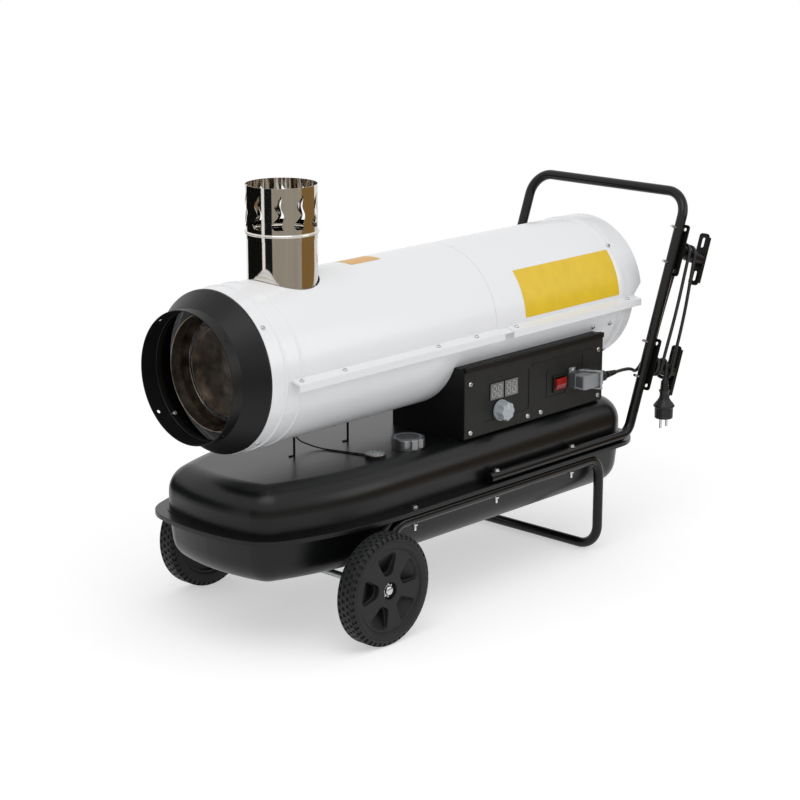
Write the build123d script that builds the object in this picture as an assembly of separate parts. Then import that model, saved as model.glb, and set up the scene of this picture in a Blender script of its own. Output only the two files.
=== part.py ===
from build123d import *
import math
import os

# Indirect oil-fired air heater on two wheels, in millimetres.
# While building, the flue axis is x = 0, the floor is z = 0 and the air body's middle is y = 0.
# The warm air leaves towards -X, the push handle is at +X, and the control panel faces -Y.
# At the end everything moves so that the origin is the middle of the foot print.

# Shared fits
touch = 0.3
slip = 0.1
overrun = 5.0

# Air body
body_radius = 137.5
body_height = 461.3
body_sheet = 1.5
body_front = -157.0
body_rear = 815.0
cover_seam = 392.0
cover_gap = 0.6
lower_rear = 790.0
flange_front = -115.0
flange_step = 25.0
flange_width = 19.5
flange_half = body_radius + flange_width
flange_drop = 4.5
flange_lip = 11.0
bead_half = 3.5
bead_rise = 2.0
bead_places = (-125.0, -89.0)
swage_place = 757.5
swage_half = 12.5
swage_rise = 1.6
rear_chamfer = 22.0
seam_screw_reach = 9.4
seam_screw_out = body_radius + seam_screw_reach
seam_screw_places = (-101.7, -2.3, 226.6, 326.4, 434.3, 758.8)
seam_head = 4.2
seam_head_height = 2.4
seam_shank = 2.0
shell_screw_spots = ((676.8, -18.6), (728.5, -19.0), (777.8, -55.0))
cover_screw_spots = ((755.9, 43.7),)

# Warm-air outlet
outlet_rim_inset = 0.6
outlet_rim_radius = body_radius - outlet_rim_inset
outlet_collar_radius = 111.7
outlet_rim_x = -159.5
outlet_crease_x = -197.0
outlet_front_x = -218.1
outlet_inner_x = -175.0
outlet_skirt = 22.0
outlet_roll = 1.2
outlet_inner_step = 0.6
collar_hole_radius = 3.2
collar_hole_x = -207.0
collar_hole_start = 41.0
cone_screw_x = -146.0
cone_screw_angles = (40.0, -50.0, 140.0, 230.0)
liner_radius = 99.0
liner_front_x = -166.0
liner_length = 44.0
liner_step = 3.5
liner_lip = 15.0
liner_tab = 9.0

# Combustion chamber and burner
chamber_radius = 80.0
chamber_front_x = -134.0
chamber_rear_x = 330.0
chamber_sheet = 1.5
chamber_dish = 4.0
chamber_rim = 7.0
chamber_foot_places = (-60.0, 270.0)
chamber_foot_width = 60.0
chamber_foot_sheet = 2.0
burner_radius = 44.0
burner_length = 120.0
burner_flange = 14.0

# Flue
flue_radius = 59.5
flue_sheet = 0.8
flue_top = 753.4
flue_socket = 664.0
flue_bead_height = 674.0
flue_bead = 2.6
flue_slots = 10
flue_slot_low = 684.0
flue_slot_high = 742.0
flue_slot_width = 17.0
flue_slot_wave = 3.6
flue_slot_start = 6.0
flue_rim_hole = 2.5
flue_rim_hole_angle = 120.0
flue_gap = 2.5

# Fan and motor
fan_radius = 118.0
fan_hub_radius = 26.0
fan_hub_length = 24.0
fan_x = 762.0
fan_blades = 5
fan_blade_chord = 62.0
fan_blade_pitch = 28.0
fan_blade_sheet = 2.0
shaft_radius = 5.0
motor_radius = 46.0
motor_length = 110.0
motor_front_x = 622.0
motor_leg_width = 50.0
motor_leg_sheet = 3.0
motor_leg_inset = 18.0
pump_radius = 24.0
pump_length = 34.0
guard_x = 786.0
guard_rings = 8
guard_bar = 3.0
guard_sheet = 2.5

# Fuel tank
tank_flange_top = 203.8
tank_sheet = 2.0
tank_front = -209.9
tank_rear = 768.0
tank_half = 198.9
tank_nose_radius = 390.0
tank_nose_angle = 14.9
tank_corner_radius = 80.0
tank_corner_angle = 68.0
tank_rear_radius = 83.0
tank_flange = 24.0
tank_lip = 7.5
tank_top = 281.0
tank_top_round = 46.0
tank_bottom = 114.0
tank_bottom_round = 44.0
tank_draft = 6.0
tank_bead = 1.6

# Filler, gauge and drain
filler_x = 195.0
filler_y = -105.0
filler_radius = 22.0
filler_sheet = 1.5
filler_rise = 14.0
filler_drop = 9.0
strainer_depth = 62.0
cap_radius = 30.0
cap_height = 16.0
cap_lobes = 8
cap_lobe_radius = 12.0
cap_lobe_cut = 2.6
cap_top_sheet = 3.0
gasket_height = 1.3
gasket_width = 5.0
gauge_x = 112.0
gauge_y = -106.0
gauge_radius = 18.0
gauge_height = 6.0
gauge_bezel = 2.5
gauge_dial_sheet = 1.0
gauge_needle_length = 12.0
gauge_needle_width = 1.6
gauge_lens_sheet = 1.2
gauge_wire_radius = 1.3
gauge_wire_turn = (78.5, -1.6)
gauge_wire_rise = (51.6, 25.5, 298.3)
gauge_wire_end = (46.0, 30.0)
drain_x = 660.0
drain_radius = 12.0
drain_height = 9.0
pickup_x = 600.0
pickup_y = -45.0
pickup_radius = 16.0
hose_radius = 4.0

# Foot frame, axle and wheels
frame_tube = 9.25
frame_wall = 1.6
frame_inset = 12.2
frame_half = tank_half - frame_inset
frame_height = 185.3
frame_nose_x = 80.0
frame_leg_x = 632.0
frame_floor = 9.25
frame_bend = 34.0
frame_corner = 42.0
axle_x = 10.9
axle_radius = 6.0
axle_boss = 10.5
axle_boss_length = 20.0
wheel_radius = 96.3
axle_height = wheel_radius
wheel_gap = 14.8
wheel_inner = frame_half + wheel_gap
wheel_width = 38.2
rim_radius = 72.0
rim_hub_radius = 20.0
rim_face_inset = 3.0
rim_web = 5.0
rim_windows = 5
rim_window_start = 98.0
rim_window_low = 31.0
rim_window_high = 61.0
rim_window_low_half = 10.5
rim_window_high_half = 22.0
rim_window_round = 5.0
rim_window_depth = 22.0
tread_blocks = 24
tread_depth = 3.0
tread_notch = 8.0
tread_side = 10.0
wheel_crown = 5.0
wheel_cap_radius = 10.5
wheel_cap_depth = 7.0
wheel_cap_sheet = 1.4
spacer_radius = 11.0

# Handle
handle_tube = 9.5
handle_wall = 1.6
handle_inset = 11.9
handle_half = tank_half - handle_inset
handle_front = 317.0
handle_foot_x = 718.4
handle_top_x = 886.4
handle_top = 651.6
handle_bend = 32.0
handle_corner = 44.0

# Bolts through the tank flange
flange_bolt_places = (124.3, 337.3, 549.2)
flange_bolt_radius = 3.0
bolt_head_radius = 6.5
bolt_head_height = 4.5
bolt_nut_radius = 5.8
bolt_nut_height = 3.5
bolt_stub = 8.5
pad_radius = 9.0

# Control box
box_front = 290.0
box_rear = 680.0
box_reach = 12.5
box_face = body_radius + box_reach
box_inner = -20.0
box_top = 409.0
box_sheet = 1.5
box_overhang = 5.0
box_lip_drop = 7.0
box_ridge = 2.0
panel_sheet = 2.0
panel_low = 283.5
panel_high = 402.0
panel_recess = 1.0
panel_recess_left = 337.0
panel_recess_right = 466.0
panel_recess_low = 304.0
panel_recess_high = 381.0
panel_recess_round = 6.0
panel_frame_left = 515.0
panel_frame_right = 575.0
panel_frame_low = 313.0
panel_frame_high = 367.0
panel_frame_width = 3.0
panel_rib_left = 474.0
panel_rib_right = 652.0
panel_rib_high = 385.5
panel_rib_width = 4.5
panel_rib_drop_x = 619.0
panel_rib_drop_low = 359.0
panel_screw_inset = 14.0
panel_screw_low = 292.0
panel_screw_high = 380.0
panel_head = 4.8
panel_head_height = 2.8
panel_middle_screws = (461.0, 498.0)

# Panel fittings
display_places = (376.5, 416.0)
display_width = 36.0
display_low = 340.0
display_high = 370.0
display_rise = 1.5
display_frame = 2.0
display_depth = 9.0
knob_x = 386.0
knob_z = 318.5
knob_radius = 17.5
knob_skirt = 19.0
knob_length = 19.0
knob_lobes = 8
knob_shaft = 3.0
stat_radius = 15.0
stat_depth = 24.0
switch_x = 552.0
switch_z = 337.0
switch_width = 38.0
switch_height = 30.0
switch_bezel_rise = 3.0
switch_body_depth = 26.0
switch_wall = 2.4
rocker_half = 11.0
rocker_nose = 8.0
rocker_tip = 4.5
rocker_back = 4.0
rocker_tilt = 7.0
rocker_pin = 1.5
plug_in_left = 578.0
plug_in_right = 628.0
plug_in_low = 322.0
plug_in_high = 352.0
plug_in_base = 15.0
plug_in_depth = 38.0
plug_in_wall = 3.0
plug_in_hood_inset = 2.0
plug_in_round = 6.0
plug_in_collar = 8.0
latch_x = 604.0
latch_out = 8.0
latch_bar_x = 18.0
latch_bar_out = 35.0
latch_arm = 2.0
latch_width = 6.0
latch_bar = 2.2
latch_pin = 2.0
gland_radius = 10.0
gland_length = 14.0
gland_out = 187.0
gland_z = 338.0
board_length = 110.0
board_height = 58.0
board_sheet = 1.6
board_x = 500.0
board_standoff = 10.0

# Body supports on the tank
strip_places = (22.0, 153.0)
strip_width = 3.6
strip_sheet = 2.0
strip_foot = 12.0

# Cord winders on the handle
winder_places = (342.0, 550.0)
winder_plate_half = 50.0
winder_plate_width = 33.0
winder_plate_sheet = 2.5
winder_round = 6.0
winder_hole = 3.5
winder_hole_inset = 9.0
winder_bolt_places = (-28.5, 39.0)
winder_bolt_radius = 2.5
winder_bolt_head = 4.5
winder_bolt_head_height = 2.5
winder_bolt_tip = 15.5
spool_radius = 12.5
spool_wall = 2.0
spool_length = 76.0
end_bar_half = 51.0
end_bar_width = 22.0
end_bar_sheet = 2.5
end_bar_lip = 9.0
end_bar_slot = 20.0
end_bar_slot_width = 7.0
end_bar_slot_inset = 8.0

# Mains cord
cord_radius = 3.2
cord_gap = 0.4
lower_wraps = 1
tall_loops = 2
wrap_start_share = 0.08
wrap_pitch = 7.6
tall_top_share = 0.21
tall_top_pitch = 18.0
tall_low_share = 0.27
tall_low_last_share = 0.74
last_wrap_share = 0.42
entry_below = 4.0
entry_gap = 7.0
exit_gap = 1.0
tail_hang = 8.0
tail_sway = 0.6
plug_radius = 17.5
plug_flare = 20.5
plug_neck = 7.0
plug_waist = 8.5
plug_top = 305.0
plug_length = 76.0
plug_x = 810.0
plug_y = -203.0
plug_pin_radius = 2.4
plug_pin_length = 19.0
plug_pin_half = 9.5
tie_width = 3.0
tie_sheet = 1.0
tie_head = 4.0
tie_share = 0.48
lead_start = 30.0
lead_route = [
    (712.0, -176.6, 337.6),
    (742.0, -172.5, 335.8),
]

body_axis = Axis((0, 0, body_height), (1, 0, 0))
nodes = {}


def rod(start, end, radius, bore=0.0):
    """A round bar, or a tube, from one point to another."""
    run = Vector(*end) - Vector(*start)
    ring = Circle(radius) - Circle(bore) if bore else Circle(radius)
    return extrude(Plane(origin=start, z_dir=run) * ring, amount=run.length)


def block(low, high):
    """A box between two corners."""
    size = [b - a for a, b in zip(low, high)]
    middle = [(a + b) / 2 for a, b in zip(low, high)]
    return Pos(*middle) * Box(*size)


def turned(points):
    """A solid of revolution about the air body's axis, from (x, radius) corners."""
    outline = Polyline([(x, 0, body_height + r) for x, r in points], close=True)
    return revolve(make_face(outline), axis=body_axis)


def beside(points, x_low, x_high):
    """A prism along X from (y, z) corners."""
    outline = Polyline([(x_low, y, z) for y, z in points], close=True)
    return extrude(make_face(outline), amount=x_high - x_low, dir=(1, 0, 0))


def group(parts):
    """Several separate pieces that share one node."""
    return Compound([solid for part in parts for solid in part.solids()])


def mirrored(part):
    """The part with its mirror image on the other side of the middle plane."""
    return part + mirror(part, about=Plane.XZ)


def bent_tube(points, radii, radius, bore=0.0):
    """A round tube along straight runs joined by tangent arcs."""
    path = FilletPolyline(*points, radius=radii)
    run = Vector(*points[1]) - Vector(*points[0])
    ring = Circle(radius) - Circle(bore) if bore else Circle(radius)
    return sweep(Plane(origin=points[0], z_dir=run) * ring, path=path)


def screw(place, radius, height, shank, length):
    """A low round head with a bevelled edge on a shank, head up along the plane's normal."""
    head = Pos(0, 0, height / 2) * Cylinder(radius, height)
    head = chamfer(head.edges().sort_by(Axis.Z)[-1], height / 2)
    return place * (head + Pos(0, 0, -length / 2) * Cylinder(shank, length))


def radial_plane(x, angle, radius):
    """A plane on the air body at an angle above the panel side, facing outwards."""
    out = Vector(0, -math.cos(math.radians(angle)), math.sin(math.radians(angle)))
    return Plane(origin=Vector(x, 0, body_height) + out * radius, z_dir=out)


# The sheet-metal body: one shell below the seam, two covers above it

def barrel(start, end, beads):
    """A full ring of body sheet with rolled beads, each (place, half width, rise)."""
    edges = []
    for radius, direction in ((body_radius, 1), (body_radius - body_sheet, -1)):
        level = body_height + radius
        marks = beads if direction == 1 else beads[::-1]
        x = start if direction == 1 else end
        for place, half, rise in marks:
            near = (place - direction * half, 0, level)
            far = (place + direction * half, 0, level)
            edges.append(Line((x, 0, level), near))
            edges.append(ThreePointArc(near, (place, 0, level + rise), far))
            x = far[0]
        last = end if direction == 1 else start
        edges.append(Line((x, 0, level), (last, 0, level)))
        next_level = level - direction * body_sheet
        edges.append(Line((last, 0, level), (last, 0, next_level)))
    return revolve(make_face(edges), axis=body_axis)


def upper_flange(start, end):
    inner = body_radius - body_sheet
    root = body_radius + bead_rise
    edge = body_height - flange_drop
    points = [
        (inner, body_height),
        (inner, body_height + body_sheet),
        (root, body_height + body_sheet),
        (flange_half, edge + body_sheet),
        (flange_half, edge - flange_lip),
        (flange_half - body_sheet, edge - flange_lip),
        (flange_half - body_sheet, edge),
        (root, body_height),
    ]
    return mirrored(beside(points, start, end))


def lower_flange(start, end):
    inner = body_radius - body_sheet
    root = body_radius + bead_rise
    outer = flange_half - body_sheet - touch
    edge = body_height - flange_drop
    points = [
        (inner, body_height),
        (root, body_height),
        (outer, edge),
        (outer, edge - body_sheet),
        (root, body_height - body_sheet),
        (inner, body_height - body_sheet),
    ]
    return mirrored(beside(points, start, end))


def seam_plane(x, side):
    """Where a seam screw's head sits on the sloping flange."""
    root = body_radius + bead_rise
    slope = flange_drop / (flange_half - root)
    rise = body_height + body_sheet - (seam_screw_out - root) * slope
    way = Vector(0, side * slope, 1).normalized()
    return Plane(origin=Vector(x, side * seam_screw_out, rise) + way * slip, z_dir=way)


def seam_holes():
    holes = []
    for x in seam_screw_places:
        for side in (-1, 1):
            hole = Cylinder(seam_shank + slip, 2 * overrun)
            holes.append(seam_plane(x, side) * hole)
    return holes


def radial_holes(spots):
    return [
        radial_plane(x, angle, body_radius) * Cylinder(seam_shank + slip, 2 * overrun)
        for x, angle in spots
    ]


def cone_screw_spots():
    return [(cone_screw_x, angle) for angle in cone_screw_angles]


def make_body():
    beads = [(place, bead_half, bead_rise) for place in bead_places]
    swage = [(swage_place, swage_half, swage_rise)]
    cut = Plane.XY.offset(body_height)

    lower = split(barrel(body_front, lower_rear, beads + swage), bisect_by=cut, keep=Keep.BOTTOM)
    lower += lower_flange(flange_front, lower_rear)
    lower -= seam_holes() + radial_holes(cone_screw_spots()) + radial_holes(shell_screw_spots)
    lower -= wire_path_hole() + fuel_hose_hole()
    nodes["lower_shell"] = lower

    front = split(barrel(body_front, cover_seam, beads), bisect_by=cut, keep=Keep.TOP)
    front += upper_flange(flange_front, cover_seam)
    front -= rod((0, 0, body_height), (0, 0, flue_top), flue_radius + flue_gap)
    front -= seam_holes() + radial_holes(cone_screw_spots())
    nodes["front_cover"] = front

    rear_start = cover_seam + cover_gap
    rear = split(barrel(rear_start, body_rear, swage), bisect_by=cut, keep=Keep.TOP)
    rear += upper_flange(cover_seam + flange_step, lower_rear)
    corner = [
        (lower_rear, body_height - flange_half),
        (lower_rear, body_height),
        (body_rear, body_height + rear_chamfer),
        (body_rear + overrun, body_height + rear_chamfer),
        (body_rear + overrun, body_height - flange_half),
    ]
    wedge = make_face(Polyline([(x, -flange_half, z) for x, z in corner], close=True))
    rear -= extrude(wedge, amount=2 * flange_half, dir=(0, 1, 0))
    rear -= seam_holes() + radial_holes(cover_screw_spots)
    nodes["rear_cover"] = rear


def make_screws():
    """All the small screws: along the seam, into the barrel and on the panel."""
    planes = [seam_plane(x, side) for x in seam_screw_places for side in (-1, 1)]
    for x, angle in cone_screw_spots() + list(shell_screw_spots):
        planes.append(radial_plane(x, angle, body_radius + slip))
    for x, angle in cover_screw_spots:
        planes.append(radial_plane(x, angle, body_radius + swage_rise + slip))
    screws = [
        screw(plane, seam_head, seam_head_height, seam_shank, 2 * body_sheet + touch)
        for plane in planes
    ]
    for x, z in panel_screw_spots():
        plane = Plane(origin=(x, panel_face() - slip, z), z_dir=(0, -1, 0))
        screws.append(screw(plane, panel_head, panel_head_height, seam_shank,
                            panel_sheet + box_sheet + touch))
    nodes["screws"] = group(screws)


# The warm-air outlet, and what shows inside it

def make_outlet():
    skirt = body_radius - body_sheet - touch
    skirt_end = body_front + outlet_skirt
    outer = [
        (skirt_end, skirt),
        (body_front - touch, skirt),
        (body_front - touch, outlet_rim_radius),
        (outlet_rim_x - outlet_roll, outlet_rim_radius),
        (outlet_crease_x, outlet_collar_radius),
        (outlet_front_x, outlet_collar_radius),
    ]
    collar_bore = outlet_collar_radius - body_sheet
    inner = [
        (outlet_front_x, collar_bore),
        (outlet_inner_x, collar_bore),
        (outlet_inner_x, outlet_collar_radius - outlet_inner_step),
        (outlet_crease_x + body_sheet, outlet_collar_radius - outlet_inner_step),
        (outlet_rim_x, outlet_rim_radius - body_sheet),
        (skirt_end, skirt - body_sheet),
    ]
    cone = turned(outer + inner)
    for quarter in range(4):
        hole = Cylinder(collar_hole_radius, 2 * overrun)
        angle = collar_hole_start + quarter * 90
        cone -= radial_plane(collar_hole_x, angle, outlet_collar_radius) * hole
    cone -= radial_holes(cone_screw_spots())
    nodes["outlet_cone"] = cone

    step_x = liner_front_x + liner_lip
    end_x = liner_front_x + liner_length
    narrow = liner_radius - liner_step
    liner = turned([
        (liner_front_x, liner_radius),
        (step_x, liner_radius),
        (step_x + liner_step, narrow),
        (end_x, narrow),
        (end_x, narrow - chamber_sheet),
        (step_x + liner_step, narrow - chamber_sheet),
        (step_x, liner_radius - chamber_sheet),
        (liner_front_x, liner_radius - chamber_sheet),
    ])
    for quarter in range(4):
        reach = narrow - chamber_sheet / 2 - chamber_radius - touch
        tab = Pos(0, 0, reach / 2) * Box(liner_tab, liner_tab, reach)
        place = radial_plane(end_x - liner_tab / 2, 45 + quarter * 90, chamber_radius + touch)
        liner += place * tab
    nodes["liner_ring"] = liner


def make_chamber():
    front = chamber_front_x
    disc = front + chamber_dish
    rim = chamber_radius - chamber_rim
    points = [
        (front, chamber_radius),
        (chamber_rear_x, chamber_radius),
        (chamber_rear_x, burner_radius + touch),
        (chamber_rear_x - chamber_sheet, burner_radius + touch),
        (chamber_rear_x - chamber_sheet, chamber_radius - chamber_sheet),
        (disc + chamber_sheet, chamber_radius - chamber_sheet),
        (disc + chamber_sheet, 0),
        (disc, 0),
        (disc, rim),
        (front, rim),
    ]
    drum = turned(points)
    stub = flue_radius - flue_sheet - slip
    neck_top = body_height + body_radius - body_sheet
    drum += rod((0, 0, body_height), (0, 0, neck_top), stub)
    drum -= rod((0, 0, body_height), (0, 0, neck_top + overrun), stub - chamber_sheet)
    hollow = [
        (disc + chamber_sheet, 0),
        (disc + chamber_sheet, chamber_radius - chamber_sheet),
        (chamber_rear_x - chamber_sheet, chamber_radius - chamber_sheet),
        (chamber_rear_x - chamber_sheet, 0),
    ]
    drum -= turned(hollow)
    shell = body_radius - body_sheet - touch
    for x in chamber_foot_places:
        ring = Circle(shell) - Circle(chamber_radius - chamber_sheet / 2)
        foot = Plane(origin=(x, 0, body_height), z_dir=(1, 0, 0)) * ring
        foot = extrude(foot, amount=chamber_foot_sheet)
        window = block(
            (x - overrun, -chamber_foot_width / 2, body_height - shell - overrun),
            (x + overrun, chamber_foot_width / 2, body_height - chamber_radius / 2),
        )
        drum += foot & window
    nodes["combustion_chamber"] = drum


def make_burner():
    rear = chamber_rear_x + burner_length
    flange_x = chamber_rear_x + touch
    tube = rod(
        (chamber_rear_x - burner_flange, 0, body_height),
        (rear, 0, body_height),
        burner_radius,
        burner_radius - chamber_sheet,
    )
    plate = rod(
        (rear - chamber_sheet, 0, body_height),
        (rear, 0, body_height),
        burner_radius - chamber_sheet / 2,
        burner_radius / 4,
    )
    flange = rod(
        (flange_x, 0, body_height),
        (flange_x + chamber_sheet, 0, body_height),
        burner_radius + burner_flange,
        burner_radius - chamber_sheet / 2,
    )
    nodes["burner_tube"] = tube + plate + flange
    nozzle_radius = burner_radius / 4 - touch
    nozzle = rod((chamber_rear_x, 0, body_height), (rear + overrun, 0, body_height), nozzle_radius)
    pump_front = motor_front_x - touch - pump_length - slip
    pipe = rod((rear, 0, body_height), (pump_front, 0, body_height), hose_radius / 2)
    collar = rod(
        (rear + touch, 0, body_height), (rear + overrun, 0, body_height), burner_radius / 2
    )
    nodes["burner_nozzle"] = nozzle + collar + pipe


def make_flue():
    base = body_height + chamber_radius
    lower = rod((0, 0, base + overrun), (0, 0, flue_socket + overrun), flue_radius,
                flue_radius - flue_sheet)
    nodes["flue_lower"] = lower

    bore = flue_radius + slip
    outer = bore + flue_sheet
    low = flue_socket
    bead_low = flue_bead_height - flue_bead
    bead_high = flue_bead_height + flue_bead
    edges = [
        Line((bore, 0, low), (outer, 0, low)),
        Line((outer, 0, low), (outer, 0, bead_low)),
        ThreePointArc(
            (outer, 0, bead_low), (outer + flue_bead, 0, flue_bead_height), (outer, 0, bead_high)
        ),
        Line((outer, 0, bead_high), (outer, 0, flue_top)),
        Line((outer, 0, flue_top), (bore, 0, flue_top)),
        Line((bore, 0, flue_top), (bore, 0, bead_high)),
        ThreePointArc(
            (bore, 0, bead_high), (bore + flue_bead, 0, flue_bead_height), (bore, 0, bead_low)
        ),
        Line((bore, 0, bead_low), (bore, 0, low)),
    ]
    upper = revolve(make_face(edges), axis=Axis.Z)
    height = flue_slot_high - flue_slot_low
    half = flue_slot_width / 2
    # Both sides of a slot swing the same way, as a flame does, and close to a point on top
    sway_shares = ((0.0, 0.0), (0.18, -1.0), (0.42, 0.9), (0.66, -0.7), (0.86, 0.3))
    width_shares = (0.9, 1.0, 0.55, 0.62, 0.35)
    left = []
    right = []
    for (rise, sway), width in zip(sway_shares, width_shares):
        z = flue_slot_low + rise * height
        left.append((0, sway * flue_slot_wave - width * half, z))
        right.append((0, sway * flue_slot_wave + width * half, z))
    tip = (0, flue_slot_wave, flue_slot_high)
    outline = [Line(left[0], right[0]), Spline(*right, tip), Spline(*left, tip)]
    slot = extrude(make_face(outline), amount=2 * outer, dir=(1, 0, 0))
    slots = [
        Rot(0, 0, flue_slot_start + index * 360 / flue_slots) * slot for index in range(flue_slots)
    ]
    upper -= slots
    rim_height = (flue_top + flue_slot_high) / 2
    hole = rod((0, 0, rim_height), (2 * outer, 0, rim_height), flue_rim_hole)
    upper -= Rot(0, 0, flue_rim_hole_angle) * hole
    nodes["flue_upper"] = upper


# Fan, motor and fuel pump inside the rear of the body

def make_fan():
    start = fan_x - fan_hub_length / 2
    hub = rod((start, 0, body_height), (start + fan_hub_length, 0, body_height), fan_hub_radius)
    reach = fan_radius - fan_hub_radius / 2
    blade = Pos(0, 0, fan_hub_radius / 2 + reach / 2) * Box(
        fan_blade_sheet, fan_blade_chord, reach
    )
    blade = Rot(0, 0, fan_blade_pitch) * blade
    blade &= rod((-fan_blade_chord, 0, 0), (fan_blade_chord, 0, 0), fan_radius)
    fan = hub
    for index in range(fan_blades):
        fan += Pos(fan_x, 0, body_height) * Rot(index * 360 / fan_blades, 0, 0) * blade
    shaft_start = motor_front_x + motor_length / 2
    fan += rod((shaft_start, 0, body_height), (start, 0, body_height), shaft_radius)
    nodes["fan"] = fan


def make_motor():
    rear = motor_front_x + motor_length
    shaft_start = motor_front_x + motor_length / 2
    can = rod((motor_front_x, 0, body_height), (rear, 0, body_height), motor_radius)
    can -= rod(
        (shaft_start - touch, 0, body_height),
        (rear + overrun, 0, body_height),
        shaft_radius + slip,
    )
    nodes["motor"] = can

    shell = body_radius - body_sheet - touch
    legs = None
    for x in (motor_front_x + motor_leg_inset, rear - motor_leg_inset - motor_leg_sheet):
        ring = Circle(shell) - Circle(motor_radius + slip)
        plate = extrude(
            Plane(origin=(x, 0, body_height), z_dir=(1, 0, 0)) * ring, amount=motor_leg_sheet
        )
        window = block(
            (x - overrun, -motor_leg_width, body_height - shell - overrun),
            (x + overrun, motor_leg_width, body_height + touch),
        )
        leg = plate & window
        band = rod(
            (x, 0, body_height), (x + motor_leg_sheet, 0, body_height),
            motor_radius + slip + motor_leg_sheet, motor_radius + slip,
        )
        legs = leg + band if legs is None else legs + leg + band
    span = block(
        (motor_front_x + motor_leg_inset, -motor_leg_width / 2,
         body_height - shell + motor_leg_sheet),
        (rear - motor_leg_inset, motor_leg_width / 2,
         body_height - shell + 2 * motor_leg_sheet),
    )
    nodes["motor_bracket"] = legs + span

    end = motor_front_x - touch
    pump = rod((end - pump_length, 0, body_height), (end, 0, body_height), pump_radius)
    nodes["fuel_pump"] = pump


def make_guard():
    radius = body_radius - body_sheet - touch
    face = Circle(radius) - Circle(radius - guard_bar)
    pitch = radius / guard_rings
    for index in range(1, guard_rings):
        face += Circle(index * pitch) - Circle(index * pitch - guard_bar)
    length = 2 * radius - guard_bar
    face += Rectangle(length, guard_bar) + Rectangle(guard_bar, length)
    plane = Plane(origin=(guard_x, 0, body_height), x_dir=(0, 1, 1), z_dir=(1, 0, 0))
    nodes["rear_guard"] = extrude(plane * face, amount=guard_sheet)


# Fuel tank: an upper and a lower pressing that meet at the seam flange

def nose_circle(radius, angle):
    """Outward direction on the nose at an angle from straight ahead."""
    turn = math.radians(angle)
    return Vector(-math.cos(turn), math.sin(turn), 0) * radius


def tank_outline(inset, height):
    """The tank's plan, drawn in by an inset, as a face at a height."""
    first = Vector(tank_front + tank_nose_radius, 0, height)
    second = first + nose_circle(tank_nose_radius - tank_corner_radius, tank_nose_angle)
    turn = math.radians(tank_corner_angle)
    reach = second.Y + tank_corner_radius * math.sin(turn)
    side_radius = (tank_half - reach) / (1 - math.sin(turn))
    third = second + nose_circle(tank_corner_radius - side_radius, tank_corner_angle)
    tip = first + nose_circle(tank_nose_radius - inset, 0)
    nose_end = first + nose_circle(tank_nose_radius - inset, tank_nose_angle)
    corner_middle = (tank_nose_angle + tank_corner_angle) / 2
    corner_mid = second + nose_circle(tank_corner_radius - inset, corner_middle)
    corner_end = second + nose_circle(tank_corner_radius - inset, tank_corner_angle)
    side_mid = third + nose_circle(side_radius - inset, (tank_corner_angle + 90) / 2)
    side_end = third + nose_circle(side_radius - inset, 90)
    half = tank_half - inset
    rear_x = tank_rear - inset
    round_in = tank_rear_radius - inset
    centre = Vector(rear_x - round_in, half - round_in, height)
    diagonal = Vector(1, 1, 0).normalized() * round_in
    side = [
        ThreePointArc(tip, first + nose_circle(tank_nose_radius - inset, tank_nose_angle / 2),
                      nose_end),
        ThreePointArc(nose_end, corner_mid, corner_end),
        ThreePointArc(corner_end, side_mid, side_end),
        Line(side_end, (centre.X, half, height)),
        ThreePointArc((centre.X, half, height), centre + diagonal, (rear_x, centre.Y, height)),
        Line((rear_x, centre.Y, height), (rear_x, 0, height)),
    ]
    other = [mirror(edge, about=Plane.XZ) for edge in side]
    return make_face(side + other)


def flange_bolt_holes():
    return [
        rod((x, side * frame_half, frame_height - 2 * frame_tube),
            (x, side * frame_half, tank_flange_top + 3 * handle_tube),
            flange_bolt_radius + slip)
        for x in flange_bolt_places
        for side in (-1, 1)
    ]


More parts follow.
